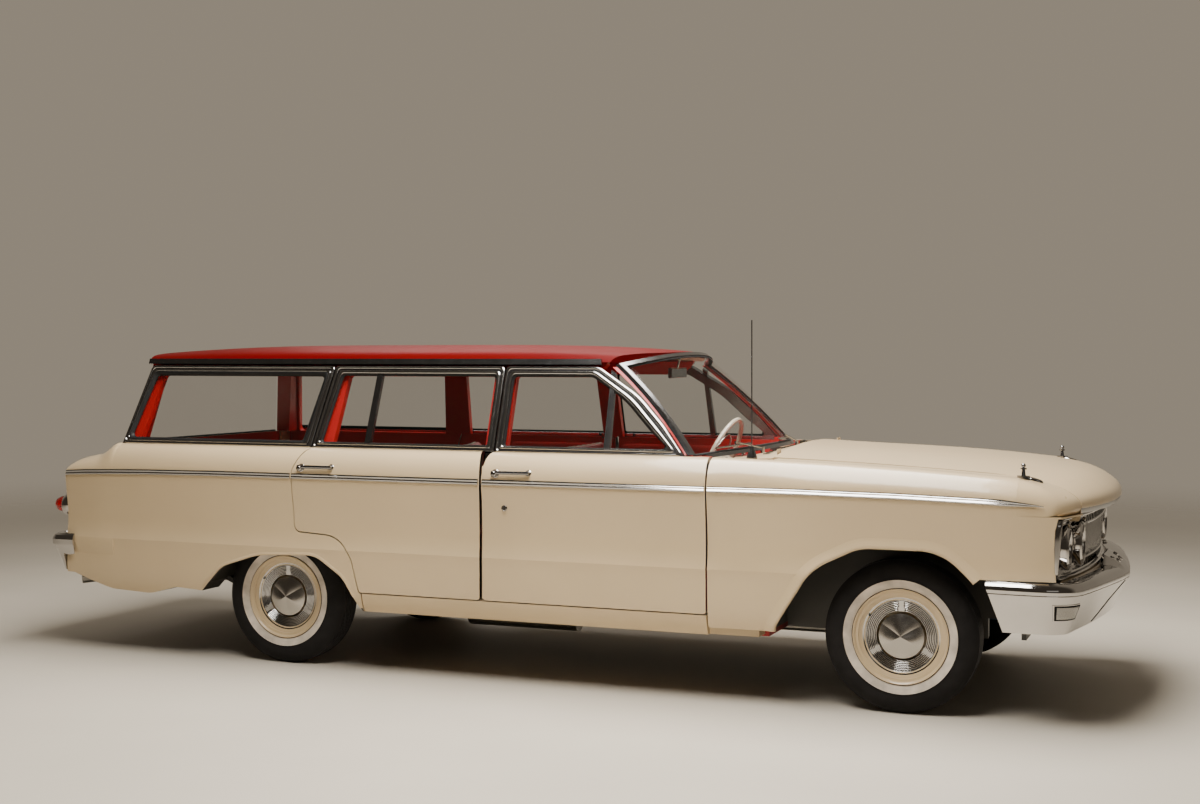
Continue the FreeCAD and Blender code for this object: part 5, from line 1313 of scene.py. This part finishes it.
# Stations of the front bumper from its end to the middle: outer line, inner line, inset of the lower edge.
BUMPER_STATIONS = [
    (1.956, 0.886, 1.956, 0.85, 0.03), (2.03, 0.891, 2.03, 0.851, 0.03), (2.11, 0.893, 2.11, 0.851, 0.032),
    (2.18, 0.888, 2.175, 0.846, 0.036), (2.235, 0.872, 2.2, 0.83, 0.042),
    (2.275, 0.842, 2.212, 0.803, 0.048), (2.298, 0.8, 2.219, 0.77, 0.054),
    (2.314, 0.745, 2.23, 0.722, 0.06), (2.338, 0.64, 2.252, 0.622, 0.066),
    (2.358, 0.53, 2.27, 0.516, 0.066), (2.375, 0.42, 2.287, 0.41, 0.066),
    (2.392, 0.29, 2.301, 0.284, 0.066), (2.406, 0.15, 2.309, 0.148, 0.066),
    (2.415, 0.0, 2.3125, 0.0, 0.066),
]
BUMPER_LOW = 0.358
CREASE = 0.506
SECTION_STEPS = 5
RAISED_HALF = 0.15
RAISED_HEIGHT = 0.05


def bumper_section(outer, inner, inset):
    """Points (x, y, z) of the closed section at one station, from the lower edge over the roll and back."""
    reach = inner - outer
    depth = reach.length
    inward = reach.normalized()
    dip = 0.018 * max(0.0, 1 - outer.y / 0.6) ** 1.5
    raised = RAISED_HEIGHT if outer.y < RAISED_HALF else 0.0
    face = [(inset, BUMPER_LOW), (inset * 0.98, BUMPER_LOW + 0.004), (inset * 0.55 + 0.002, 0.43),
            (0.007, CREASE - 0.01), (0.0042, CREASE - 0.003), (0.005, CREASE), (0.0008, CREASE + 0.006),
            (0.0, CREASE + 0.014), (0.0022, CREASE + 0.024), (0.0085, CREASE + 0.035),
            (0.02, CREASE + 0.0425), (depth * 0.5, CREASE + 0.0462), (depth - 0.01, CREASE + 0.0415),
            (depth, CREASE + 0.03), (depth, CREASE + 0.012), (depth - 0.01, CREASE + 0.004),
            (0.024, CREASE - 0.004), (inset * 0.55 + 0.022, 0.43), (inset + 0.014, BUMPER_LOW + 0.002),
            (inset + 0.004, BUMPER_LOW)]
    points = []
    for run, z in face:
        run = min(run, depth) if z > CREASE else run
        plan = outer + inward * run
        if z >= CREASE - 0.01:
            z += -dip * (1 - min(1.0, run / depth)) + raised * max(0.0, run / depth - 0.08)
        lean = 0.06 * max(0.0, min(1.0, (0.53 - z) / 0.172))
        fade = max(0.0, min(1.0, (2.235 - plan.x) / 0.279))
        points.append((plan.x + lean * fade, plan.y, z))
    return points


def bumper_path():
    """Outer point, inner point and inset of the lower edge, from the bumper's end to its middle."""
    outer = through([(*station[:2], 0.0) for station in BUMPER_STATIONS], SECTION_STEPS)
    inner = through([(*station[2:4], 0.0) for station in BUMPER_STATIONS], SECTION_STEPS)
    insets = through([(station[4], 0.0, 0.0) for station in BUMPER_STATIONS], SECTION_STEPS)
    return [(Vector(o[:2]), Vector(i[:2]), inset.x) for o, i, inset in zip(outer, inner, insets)]


def face_patch(at_from, at_to, z_low, z_high, out):
    """Rows of a patch on the bumper's pressed face between two stations and two heights."""
    sections = [bumper_section(*station) for station in bumper_path()]
    rows = []
    for z in steps_between(z_low, z_high, 0.008):
        row = []
        for at in steps_between(at_from, at_to, 0.5):
            low = int(at)
            share = at - low
            a = sections[low]
            b = sections[min(low + 1, len(sections) - 1)]
            point = Vector(a[2]).lerp(Vector(b[2]), share)
            upper = Vector(a[3]).lerp(Vector(b[3]), share)
            place = point.lerp(upper, (z - point.z) / (upper.z - point.z))
            along = (Vector(b[2]) - Vector(a[2])).normalized()
            outward = along.cross(Vector((0, 0, 1)))
            if outward.x + outward.y < 0:
                outward = -outward
            row.append(tuple(place + outward * out))
        rows.append(row)
    return rows


def tree_of_rows(rows):
    """A search tree over the skin between rows of points."""
    count = len(rows[0])
    verts = [Vector(point) for row in rows for point in row]
    faces = []
    for i in range(len(rows) - 1):
        for k in range(count):
            faces.append((i * count + k, i * count + (k + 1) % count, (i + 1) * count + (k + 1) % count,
                          (i + 1) * count + k))
    return BVHTree.FromPolygons(verts, faces)


def gravel_pan():
    """The ivory panel that closes the gap between the grille's foot and the bumper's deck."""
    rows = []
    for y in steps_between(-0.8, 0.8, 0.04):
        front = face_x(y, MOUTH_LOW)
        rows.append([(front - 0.03, y, 0.547), (front + 0.004, y, 0.5475), (front + 0.012, y, 0.545),
                     (front + 0.019, y, 0.537), (front + 0.021, y, 0.51), (front - 0.03, y, 0.51)])
    form = Form()
    capped(form, rows, "ivory")
    form.build("gravel_pan", "body_shell", angle=40.0)


ORNAMENT_PLACE = (2.112, 0.7, 0.9245)


def ornament_feet():
    """The oval chrome feet at the fender ornaments."""
    middle_x, middle_y, base_z = ORNAMENT_PLACE
    form = Form()
    for side in (1, -1):
        rows = []
        for scale, height in ((1.0, -0.006), (1.0, 0.0005), (0.93, 0.0032), (0.7, 0.0058), (0.35, 0.0075),
                              (0.02, 0.008)):
            row = []
            for turn in full_turn(36):
                along = 0.034 * scale * math.cos(turn)
                across = 0.0125 * scale * math.sin(turn)
                row.append((middle_x + along, side * (middle_y + across), base_z - 0.22 * along + height))
            rows.append(row)
        grid(form, rows, "bright_chrome", wrap_row=True)
    form.build("ornament_feet", "body_shell", angle=45.0)


def bumper_seam(form, tree, side):
    """A line of painted shade where the bumper's middle meets its side, laid on the chrome."""
    seam = []
    for k in range(15):
        share = k / 14
        start = Vector((2.6, side * (0.115 + 0.365 * share), 0.486 - 0.122 * share))
        hit = tree.ray_cast(start, Vector((-1, 0, 0)), 0.4)[0]
        if hit is not None:
            seam.append(hit + Vector((0.0006, 0, 0)))
    rod(form, seam, 0.0017, "dark_gap", 6)


def front_bumper_piece():
    """The front bumper with its seams and the bolt heads on its deck."""
    form = Form()
    half = [bumper_section(*station) for station in bumper_path()]
    whole = half + [[(x, -y, z) for x, y, z in row] for row in reversed(half[:-1])]
    capped(form, whole, "bright_chrome")
    tree = tree_of_rows(whole)
    for side in (1, -1):
        bumper_seam(form, tree, side)
    dome = [(-0.006, 0.0115), (0.0015, 0.011), (0.005, 0.008), (0.0065, 0.0)]
    for x, y in ((2.352, 0.085), (2.372, 0.045), (2.262, 0.7), (2.252, 0.775)):
        for side in (1, -1):
            hit, normal = tree.ray_cast(Vector((x, side * y, 0.8)), Vector((0, 0, -1)), 0.5)[:2]
            if hit is not None:
                turned(form, dome, hit, normal if normal.z > 0 else -normal, "bright_chrome", 24)
    form.build("front_bumper_dressed", "body_shell", angle=32.0,
               replaces="front_bumper")


# Layers of a parking lamp: reach outward, first and last station, low and high edge, finish.
PARKING_LAMP = [(0.002, 16.5, 32.0, 0.408, 0.472, "bright_chrome"),
                # The dark layer is painted shade in the recess between the chrome rim and the glass.
                (0.0034, 17.2, 31.4, 0.412, 0.468, "dark_gap"),
                (0.0064, 18.2, 30.3, 0.4175, 0.4625, "lamp_glass"),
                (0.0048, 18.2, 30.3, 0.4175, 0.4625, "pipe_steel")]
LAMP_DISH = [(-0.033, 0.0), (-0.0325, 0.014), (-0.027, 0.034), (-0.017, 0.054), (-0.0065, 0.0675)]
LAMP_BULB = [(-0.032, 0.008), (-0.018, 0.008), (-0.014, 0.004), (-0.0135, 0.0)]
LENS_RADII = (0.0, 0.012, 0.024, 0.036, 0.048, 0.06, 0.0682)


def front_lamp_pieces():
    """Four sealed lamps in the bezels and the parking lamps let into the bumper's corners."""
    form = Form()
    lens = [(0.0105 - 0.0165 * (radius / LENS_RADII[-1]) ** 2, radius) for radius in LENS_RADII]
    for side in (1, -1):
        for lamp_y in LAMP_YS:
            centre = (face_x(lamp_y, LAMP_Z), side * lamp_y, LAMP_Z)
            turned(form, lens, centre, (1, 0, 0), "lamp_glass", 56)
            turned(form, LAMP_DISH, centre, (1, 0, 0), "bright_chrome", 56)
            turned(form, LAMP_BULB, centre, (1, 0, 0), "bright_trim", 20)
    for side in (1, -1):
        for out, at_from, at_to, z_low, z_high, finish in PARKING_LAMP:
            rows = face_patch(at_from, at_to, z_low, z_high, out)
            grid(form, [[(x, side * y, z) for x, y, z in row] for row in rows], finish)
    form.build("front_lamps_dressed", "body_shell", angle=40.0, replaces="front_lamps")


def nose():
    for side_name, side in SIDES:
        fender_copy(side_name)
        nose_cap(side_name, side)
    grille_piece()
    front_bumper_piece()
    front_lamp_pieces()
    gravel_pan()
    ornament_feet()


nose()


# Cabin.

def evaluated_mesh(made):
    """A new mesh of the object with its modifiers applied."""
    return bpy.data.meshes.new_from_object(made.evaluated_get(bpy.context.evaluated_depsgraph_get()))


def inflate(made, cap, floor_z):
    """Swell a cushion by cloth pressure, hold every point within the cap, and keep its underside flat."""
    rest = [vert.co.copy() for vert in made.data.vertices]
    cloth = made.modifiers.new("cloth", "CLOTH")
    cloth.settings.use_pressure = True
    cloth.settings.uniform_pressure_force = 4.0
    cloth.settings.effector_weights.gravity = 0.0
    cloth.point_cache.frame_start = 1
    cloth.point_cache.frame_end = 20
    scene = bpy.context.scene
    for number in range(1, 21):
        scene.frame_set(number)
    swollen = evaluated_mesh(made)
    places = [vert.co.copy() for vert in swollen.vertices]
    made.modifiers.remove(cloth)
    bpy.data.meshes.remove(swollen)
    scene.frame_set(1)
    for vert, start, end in zip(made.data.vertices, rest, places):
        move = end - start
        if move.length > cap:
            move = move.normalized() * cap
        vert.co = start + move
        vert.co.z = max(vert.co.z, floor_z)


def sink_channels(made, half_width, pitch, depth, band_half):
    """Sewn channels: the cushion's skin drawn in along lines across it, and along the band's two edges."""
    mesh = made.data
    normals = [vert.normal.copy() for vert in mesh.vertices]
    for vert, normal in zip(mesh.vertices, normals):
        y = vert.co.y
        if abs(y) > half_width:
            continue
        near = abs((y + pitch / 2) % pitch - pitch / 2)
        draw = math.exp(-(near / 0.006) ** 2) * depth
        edge = abs(abs(y) - band_half)
        draw = max(draw, math.exp(-(edge / 0.006) ** 2) * depth * 1.5)
        vert.co -= normal * draw


def cushion(name, outline, half_width, cap, floor_z, band_half):
    """One upholstered cushion: an outline in side view across the car, swollen, sewn and subdivided."""
    form = Form()
    points = rounded_outline(outline, 5)
    rows = [[(x, y, z) for x, z in points] for y in steps_between(-half_width, half_width, 0.05)]
    capped(form, rows, "seat_vinyl")
    made = form.build(name, "body_shell")
    made.parent = None
    remesh = made.modifiers.new("remesh", "REMESH")
    remesh.mode = "VOXEL"
    remesh.voxel_size = 0.014
    solid = evaluated_mesh(made)
    made.modifiers.remove(remesh)
    made.data = solid
    inflate(made, cap, floor_z)
    divide = made.modifiers.new("divide", "SUBSURF")
    divide.levels = 1
    divide.render_levels = 1
    fine = evaluated_mesh(made)
    made.modifiers.remove(divide)
    made.data = fine
    fine.materials.clear()
    fine.materials.append(materials["seat_vinyl"])
    fine.materials.append(materials["cream_vinyl"])
    for polygon in fine.polygons:
        polygon.material_index = 1 if abs(polygon.center.y) < band_half else 0
    sink_channels(made, half_width - 0.05, 0.062, 0.0035, band_half)
    fine.shade_smooth()
    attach(made, "body_shell")
    return made


def welt_on(cushion_piece, name, x, half, top):
    """A cream welt across a cushion, found by a search down onto it."""
    mesh = cushion_piece.data
    tree = BVHTree.FromPolygons([vert.co.copy() for vert in mesh.vertices],
                                [tuple(polygon.vertices) for polygon in mesh.polygons])
    path = []
    for i in range(61):
        start = Vector((x, -half, top)).lerp(Vector((x, half, top)), i / 60)
        hit = tree.ray_cast(start, Vector((0, 0, -1)), 0.5)[0]
        if hit is not None:
            path.append(hit)
    form = Form()
    rod(form, path, 0.0055, "cream_vinyl", 8)
    form.build(name, "body_shell", angle=60.0)


SEAT_HALF = 0.672
# Side views of the cushions and backs: (x, z, corner radius).
FRONT_CUSHION = [(0.034, 0.437, 0.02), (0.034, 0.548, 0.05), (0.546, 0.574, 0.06), (0.546, 0.437, 0.04)]
FRONT_BACK = [(-0.094, 0.47, 0.02), (-0.206, 0.968, 0.045), (-0.118, 0.974, 0.045), (-0.004, 0.47, 0.02)]
REAR_CUSHION = [(-0.684, 0.437, 0.02), (-0.684, 0.56, 0.05), (-0.262, 0.584, 0.06), (-0.262, 0.437, 0.04)]
REAR_BACK = [(-0.782, 0.634, 0.012), (-0.884, 0.95, 0.03), (-0.822, 0.956, 0.03), (-0.712, 0.634, 0.012)]


def seats():
    """The cushions and backs of both benches, with a welt on each."""
    front = cushion("front_bench_cushion", FRONT_CUSHION, SEAT_HALF, 0.024, 0.4255, 0.15)
    front_back = cushion("front_seat_back", FRONT_BACK, SEAT_HALF, 0.016, 0.452, 0.15)
    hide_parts("front_seat")
    rear = cushion("rear_bench_cushion", REAR_CUSHION, SEAT_HALF, 0.022, 0.4255, 0.0)
    rear_back = cushion("rear_seat_back", REAR_BACK, 0.645, 0.014, 0.6205, 0.0)
    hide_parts("rear_seat")
    welt_on(front_back, "front_back_welt", -0.162, 0.655, 1.2)
    welt_on(rear_back, "rear_back_welt", -0.852, 0.63, 1.2)
    welt_on(front, "front_bench_welt", 0.47, 0.655, 0.9)
    welt_on(rear, "rear_bench_welt", -0.34, 0.655, 0.9)


TRIM_OUTER_Y = 0.7245
TRIM_INNER_Y = 0.7165
TRIM_TOP_Z = 0.95


def trim_outline(x0, x1, z0, inset, radius):
    """Points round a door's inner panel, the inset in from its edge."""
    rear, front = x0 + inset, x1 - inset
    low, high = z0 + inset, TRIM_TOP_Z - inset
    corners = [(rear, low, radius), (rear, high, radius), (front, high, radius), (front, low, radius)]
    return rounded_outline(corners, 4)


def trim_panel(form, x0, x1, z0, side):
    """The red panel with a cream band between two bright lines."""
    outer, inner = side * TRIM_OUTER_Y, side * TRIM_INNER_Y
    edge = trim_outline(x0, x1, z0, 0.0, 0.02)
    face = trim_outline(x0, x1, z0, 0.006, 0.016)
    grid(form, [[(x, outer, z) for x, z in edge], [(x, inner + side * 0.003, z) for x, z in edge],
                [(x, inner, z) for x, z in face]], "seat_vinyl", wrap_row=True)
    form.add([(x, inner, z) for x, z in face], [tuple(range(len(face)))], "seat_vinyl")
    rear, front = x0 + 0.03, x1 - 0.03
    right, left = sorted((inner, inner - side * 0.003))
    block(form, (rear, right, 0.8), (front, left, 0.9), "cream_vinyl")
    for z in (0.795, 0.905):
        ends = [(rear, inner - side * 0.002, z), (front, inner - side * 0.002, z)]
        rod(form, ends, 0.004, "bright_trim", 8)


def window_crank(form, hub, side):
    """A window's crank: its boss, its bent arm and its knob."""
    turned(form, [(0.0, 0.024), (0.006, 0.022), (0.01, 0.012), (0.024, 0.01), (0.024, 0.0)], hub,
           (0, -side, 0), "bright_chrome", 24)
    rod(form, [hub + Vector((0, -side * 0.022, 0)), hub + Vector((0.035, -side * 0.026, -0.055)),
               hub + Vector((0.05, -side * 0.026, -0.085))], 0.0055, "bright_chrome", 10)
    turned(form, [(0.0, 0.011), (0.008, 0.013), (0.02, 0.011), (0.022, 0.0)],
           hub + Vector((0.05, -side * 0.028, -0.085)), (0, -side, 0), "black_rubber", 18)


def door_trim():
    """Inner door panels, each with an armrest and a window crank."""
    for side_name, side in SIDES:
        for door, x0, x1, z0, crank_x in (("front_door", -0.075, 0.79, 0.4, 0.43),
                                          ("rear_door", -0.69, -0.205, 0.64, -0.4)):
            inner = side * TRIM_INNER_Y
            form = Form()
            trim_panel(form, x0, x1, z0, side)
            right, left = sorted((inner, inner - side * 0.045))
            block(form, (crank_x - 0.2, right, 0.69), (crank_x + 0.02, left, 0.728), "seat_vinyl")
            window_crank(form, Vector((crank_x + 0.06, inner, 0.76)), side)
            form.build(door + "_trim_" + side_name, door + "_" + side_name, angle=35.0)


def instrument_panel():
    """The dial pod with two blank dials, the bright band, the knobs and the glove lid."""
    tree = tree_of(["dashboard"])
    form = Form()

    def dash_x(y, z):
        hit = tree.ray_cast(Vector((0.5, y, z)), Vector((1, 0, 0)), 0.8)[0]
        return hit.x if hit is not None else 0.8

    pod = []
    for i in range(17):
        turn = math.pi * i / 16
        pod.append((0.38 + 0.185 * math.cos(turn), 0.868 + 0.058 * math.sin(turn)))
    rows = []
    for x, grow in ((0.93, -0.02), (0.85, 0.0), (0.752, 0.004), (0.746, 0.0), (0.748, -0.006),
                    (0.785, -0.01)):
        rows.append([(x, y + (y - 0.38) * grow * 4, z + grow) for y, z in pod])
    grid(form, rows, "interior_paint")
    for y in (0.292, 0.468):
        middle = (0.79, y, 0.872)
        rim = [(-0.012, 0.046), (-0.016, 0.044), (-0.01, 0.04), (-0.006, 0.0)]
        turned(form, rim, middle, (1, 0, 0), "bright_chrome", 36)
        turned(form, [(-0.0095, 0.039), (-0.0095, 0.0)], middle, (1, 0, 0), "dark_gap", 36)
        rod(form, [(0.779, y, 0.872), (0.779, y + 0.02, 0.893)], 0.0011, "tail_lens", 6)
    band = [(dash_x(y, 0.845) - 0.0025, y, 0.845) for y in steps_between(-0.66, 0.66, 0.06)]
    rod(form, band, 0.005, "bright_trim", 8)
    for y in (-0.02, 0.04, 0.1, 0.16):
        turned(form, [(0.0, 0.008), (-0.01, 0.01), (-0.022, 0.01), (-0.025, 0.0)],
               (dash_x(y, 0.828), y, 0.828), (1, 0, 0), "bright_chrome", 20)
    # The glove lid's edge is a line of painted shade on the dash.
    lid = [(-0.55, 0.865), (-0.22, 0.865), (-0.22, 0.905), (-0.55, 0.905), (-0.55, 0.865)]
    rod(form, [(dash_x(y, z) - 0.0008, y, z) for y, z in dense(lid, 0.03)], 0.0018, "dark_gap", 6)
    form.build("instrument_panel_fittings", "body_shell", angle=40.0)


def wheel_dressing():
    """The chrome horn ring and the cap on the steering wheel, and the two levers on the column."""
    axis = (COLUMN_FOOT - COLUMN_HUB).normalized()
    side = Vector((0, 1, 0))
    up = side.cross(axis)
    form = Form()
    centre = COLUMN_HUB - axis * 0.01
    ring = ring_points(centre, side, up, 0.118, 48)
    rod(form, ring, 0.0042, "bright_chrome", 8, closed=True)
    for turn in (0.0, math.pi):
        reach = side * math.cos(turn)
        rod(form, [centre + reach * 0.03, centre + reach * 0.118], 0.004, "bright_chrome", 8)
    turned(form, [(0.0, 0.031), (-0.006, 0.03), (-0.012, 0.022), (-0.014, 0.0)],
           COLUMN_HUB - axis * 0.006, axis, "bright_chrome", 32)
    form.build("horn_ring", "steering_rim", angle=50.0)
    stalk = Form()
    root = COLUMN_HUB + axis * 0.085
    rod(stalk, [root, root + Vector((0, 0.07, 0.02)), root + Vector((-0.012, 0.16, 0.05))], 0.0042,
        "bright_chrome", 8)
    turned(stalk, [(0.0, 0.007), (0.02, 0.009), (0.026, 0.0)], root + Vector((-0.012, 0.155, 0.049)),
           (-0.1, 1, 0.3), "wheel_plastic", 14)
    root = COLUMN_HUB + axis * 0.12
    rod(stalk, [root, root + Vector((0, -0.08, 0.03)), root + Vector((-0.015, -0.2, 0.055))], 0.005,
        "bright_chrome", 8)
    turned(stalk, [(0.0, 0.009), (0.022, 0.012), (0.03, 0.0)], root + Vector((-0.015, -0.195, 0.054)),
           (-0.1, -1, 0.2), "black_rubber", 14)
    stalk.build("column_levers", "body_shell", angle=50.0)


def pedals():
    """The brake and the gas pedal on their arms."""
    form = Form()
    for y, width in ((0.455, 0.075), (0.3, 0.055)):
        rod(form, [(0.985, y, 0.8), (0.955, y, 0.52), (0.93, y, 0.44)], 0.007, "chassis_paint", 8)
        block(form, (0.905, y - width / 2, 0.395), (0.928, y + width / 2, 0.455), "black_rubber")
    form.build("pedals", "body_shell", angle=40.0)


def load_floor():
    """The red mat on the load floor and its bright rub strips."""
    form = Form()
    block(form, (-2.01, -0.535, 0.624), (-0.97, 0.535, 0.6262), "seat_vinyl")
    section = [(-0.012, 0.0), (-0.01, 0.0035), (0.0, 0.0052), (0.01, 0.0035), (0.012, 0.0)]
    for i in range(7):
        y = -0.465 + 0.155 * i
        rows = [[(x, y + across, 0.6258 + up) for across, up in section] for x in (-2.0, -1.5, -0.985)]
        capped(form, rows, "bright_trim")
    form.build("load_floor_strips", "body_shell", angle=40.0)


def mirror_glass():
    form = Form()
    block(form, (0.4466, -0.104, 1.3), (0.4478, 0.104, 1.34), "bright_chrome")
    form.build("mirror_glass", "body_shell")


seats()
door_trim()
instrument_panel()
wheel_dressing()
pedals()
load_floor()
mirror_glass()


# Studio: a plain pale floor, soft light and the photograph's camera.

def floor():
    """A wide disc whose far part fades into the backdrop's tone."""
    mesh = bpy.data.meshes.new("studio_floor")
    form = bmesh.new()
    bmesh.ops.create_circle(form, cap_ends=True, radius=60.0, segments=64)
    form.to_mesh(mesh)
    form.free()
    plane = bpy.data.objects.new("studio_floor", mesh)
    bpy.context.collection.objects.link(plane)
    paint = new_paint("studio_floor")
    paint.set("Base Color", paint.ramp(paint.noise(0.8), (0.52, 0.472, 0.395), (0.56, 0.508, 0.425)))
    paint.set("Roughness", 0.6)
    paint.bump(paint.noise(40.0), 0.05, 0.002)
    length = paint.node("VectorMath", {0: paint.coords()}, operation="LENGTH")
    fade = {"Value": length.outputs["Value"], "From Min": 4.5, "From Max": 13.0,
            "To Min": 1.0, "To Max": 0.0}
    paint.set("Alpha", paint.node("MapRange", fade, interpolation_type="SMOOTHSTEP").outputs["Result"])
    mesh.materials.append(paint.owner)


def area_light(name, place, target, width, height, power):
    light = bpy.data.lights.new(name, "AREA")
    light.shape = "RECTANGLE"
    light.size = width
    light.size_y = height
    light.energy = power
    light.color = (1.0, 0.96, 0.9)
    lamp = bpy.data.objects.new(name, light)
    lamp.location = place
    lamp.rotation_euler = (Vector(target) - Vector(place)).to_track_quat("-Z", "Y").to_euler()
    bpy.context.collection.objects.link(lamp)


def backdrop():
    """A wall tone behind the car and a dark room behind the camera."""
    world = bpy.data.worlds.new("studio")
    sky = Shader(world, "Background")
    parts = sky.node("SeparateXYZ", {"Vector": sky.coords("Generated")})
    share = sky.node("MapRange", {"Value": parts.outputs["Y"], "From Min": -0.3, "From Max": 0.3},
                     interpolation_type="SMOOTHSTEP")
    sky.set("Color", sky.mix(share.outputs["Result"], opaque(DARK_SIDE), opaque(WALL_TONE)))
    bpy.context.scene.world = world


def lights():
    """Soft light from above, with a weak fill in front and a rim behind."""
    area_light("key_overhead", (0.6, -1.1, 4.5), (0.7, -1.1, 0.0), 5.8, 2.4, 760.0)
    area_light("fill_front", (4.6, -6.5, 2.6), (1.0, 0.0, 0.6), 2.4, 1.6, 5.0)
    area_light("rim_back", (-2.2, 3.6, 3.6), (-1.6, 0.0, 1.2), 3.0, 1.2, 40.0)


def camera():
    """The photograph's camera."""
    data = bpy.data.cameras.new("photo_camera")
    data.sensor_width = 36.0
    data.lens = 50.94
    data.shift_x = 0.069
    data.shift_y = -0.038
    data.clip_end = 200.0
    view = bpy.data.objects.new("photo_camera", data)
    view.location = (2.88535, -7.43776, 1.39545)
    view.rotation_euler = (math.pi / 2, 0.0, 0.4097)
    bpy.context.collection.objects.link(view)
    bpy.context.scene.camera = view


floor()
backdrop()
lights()
camera()
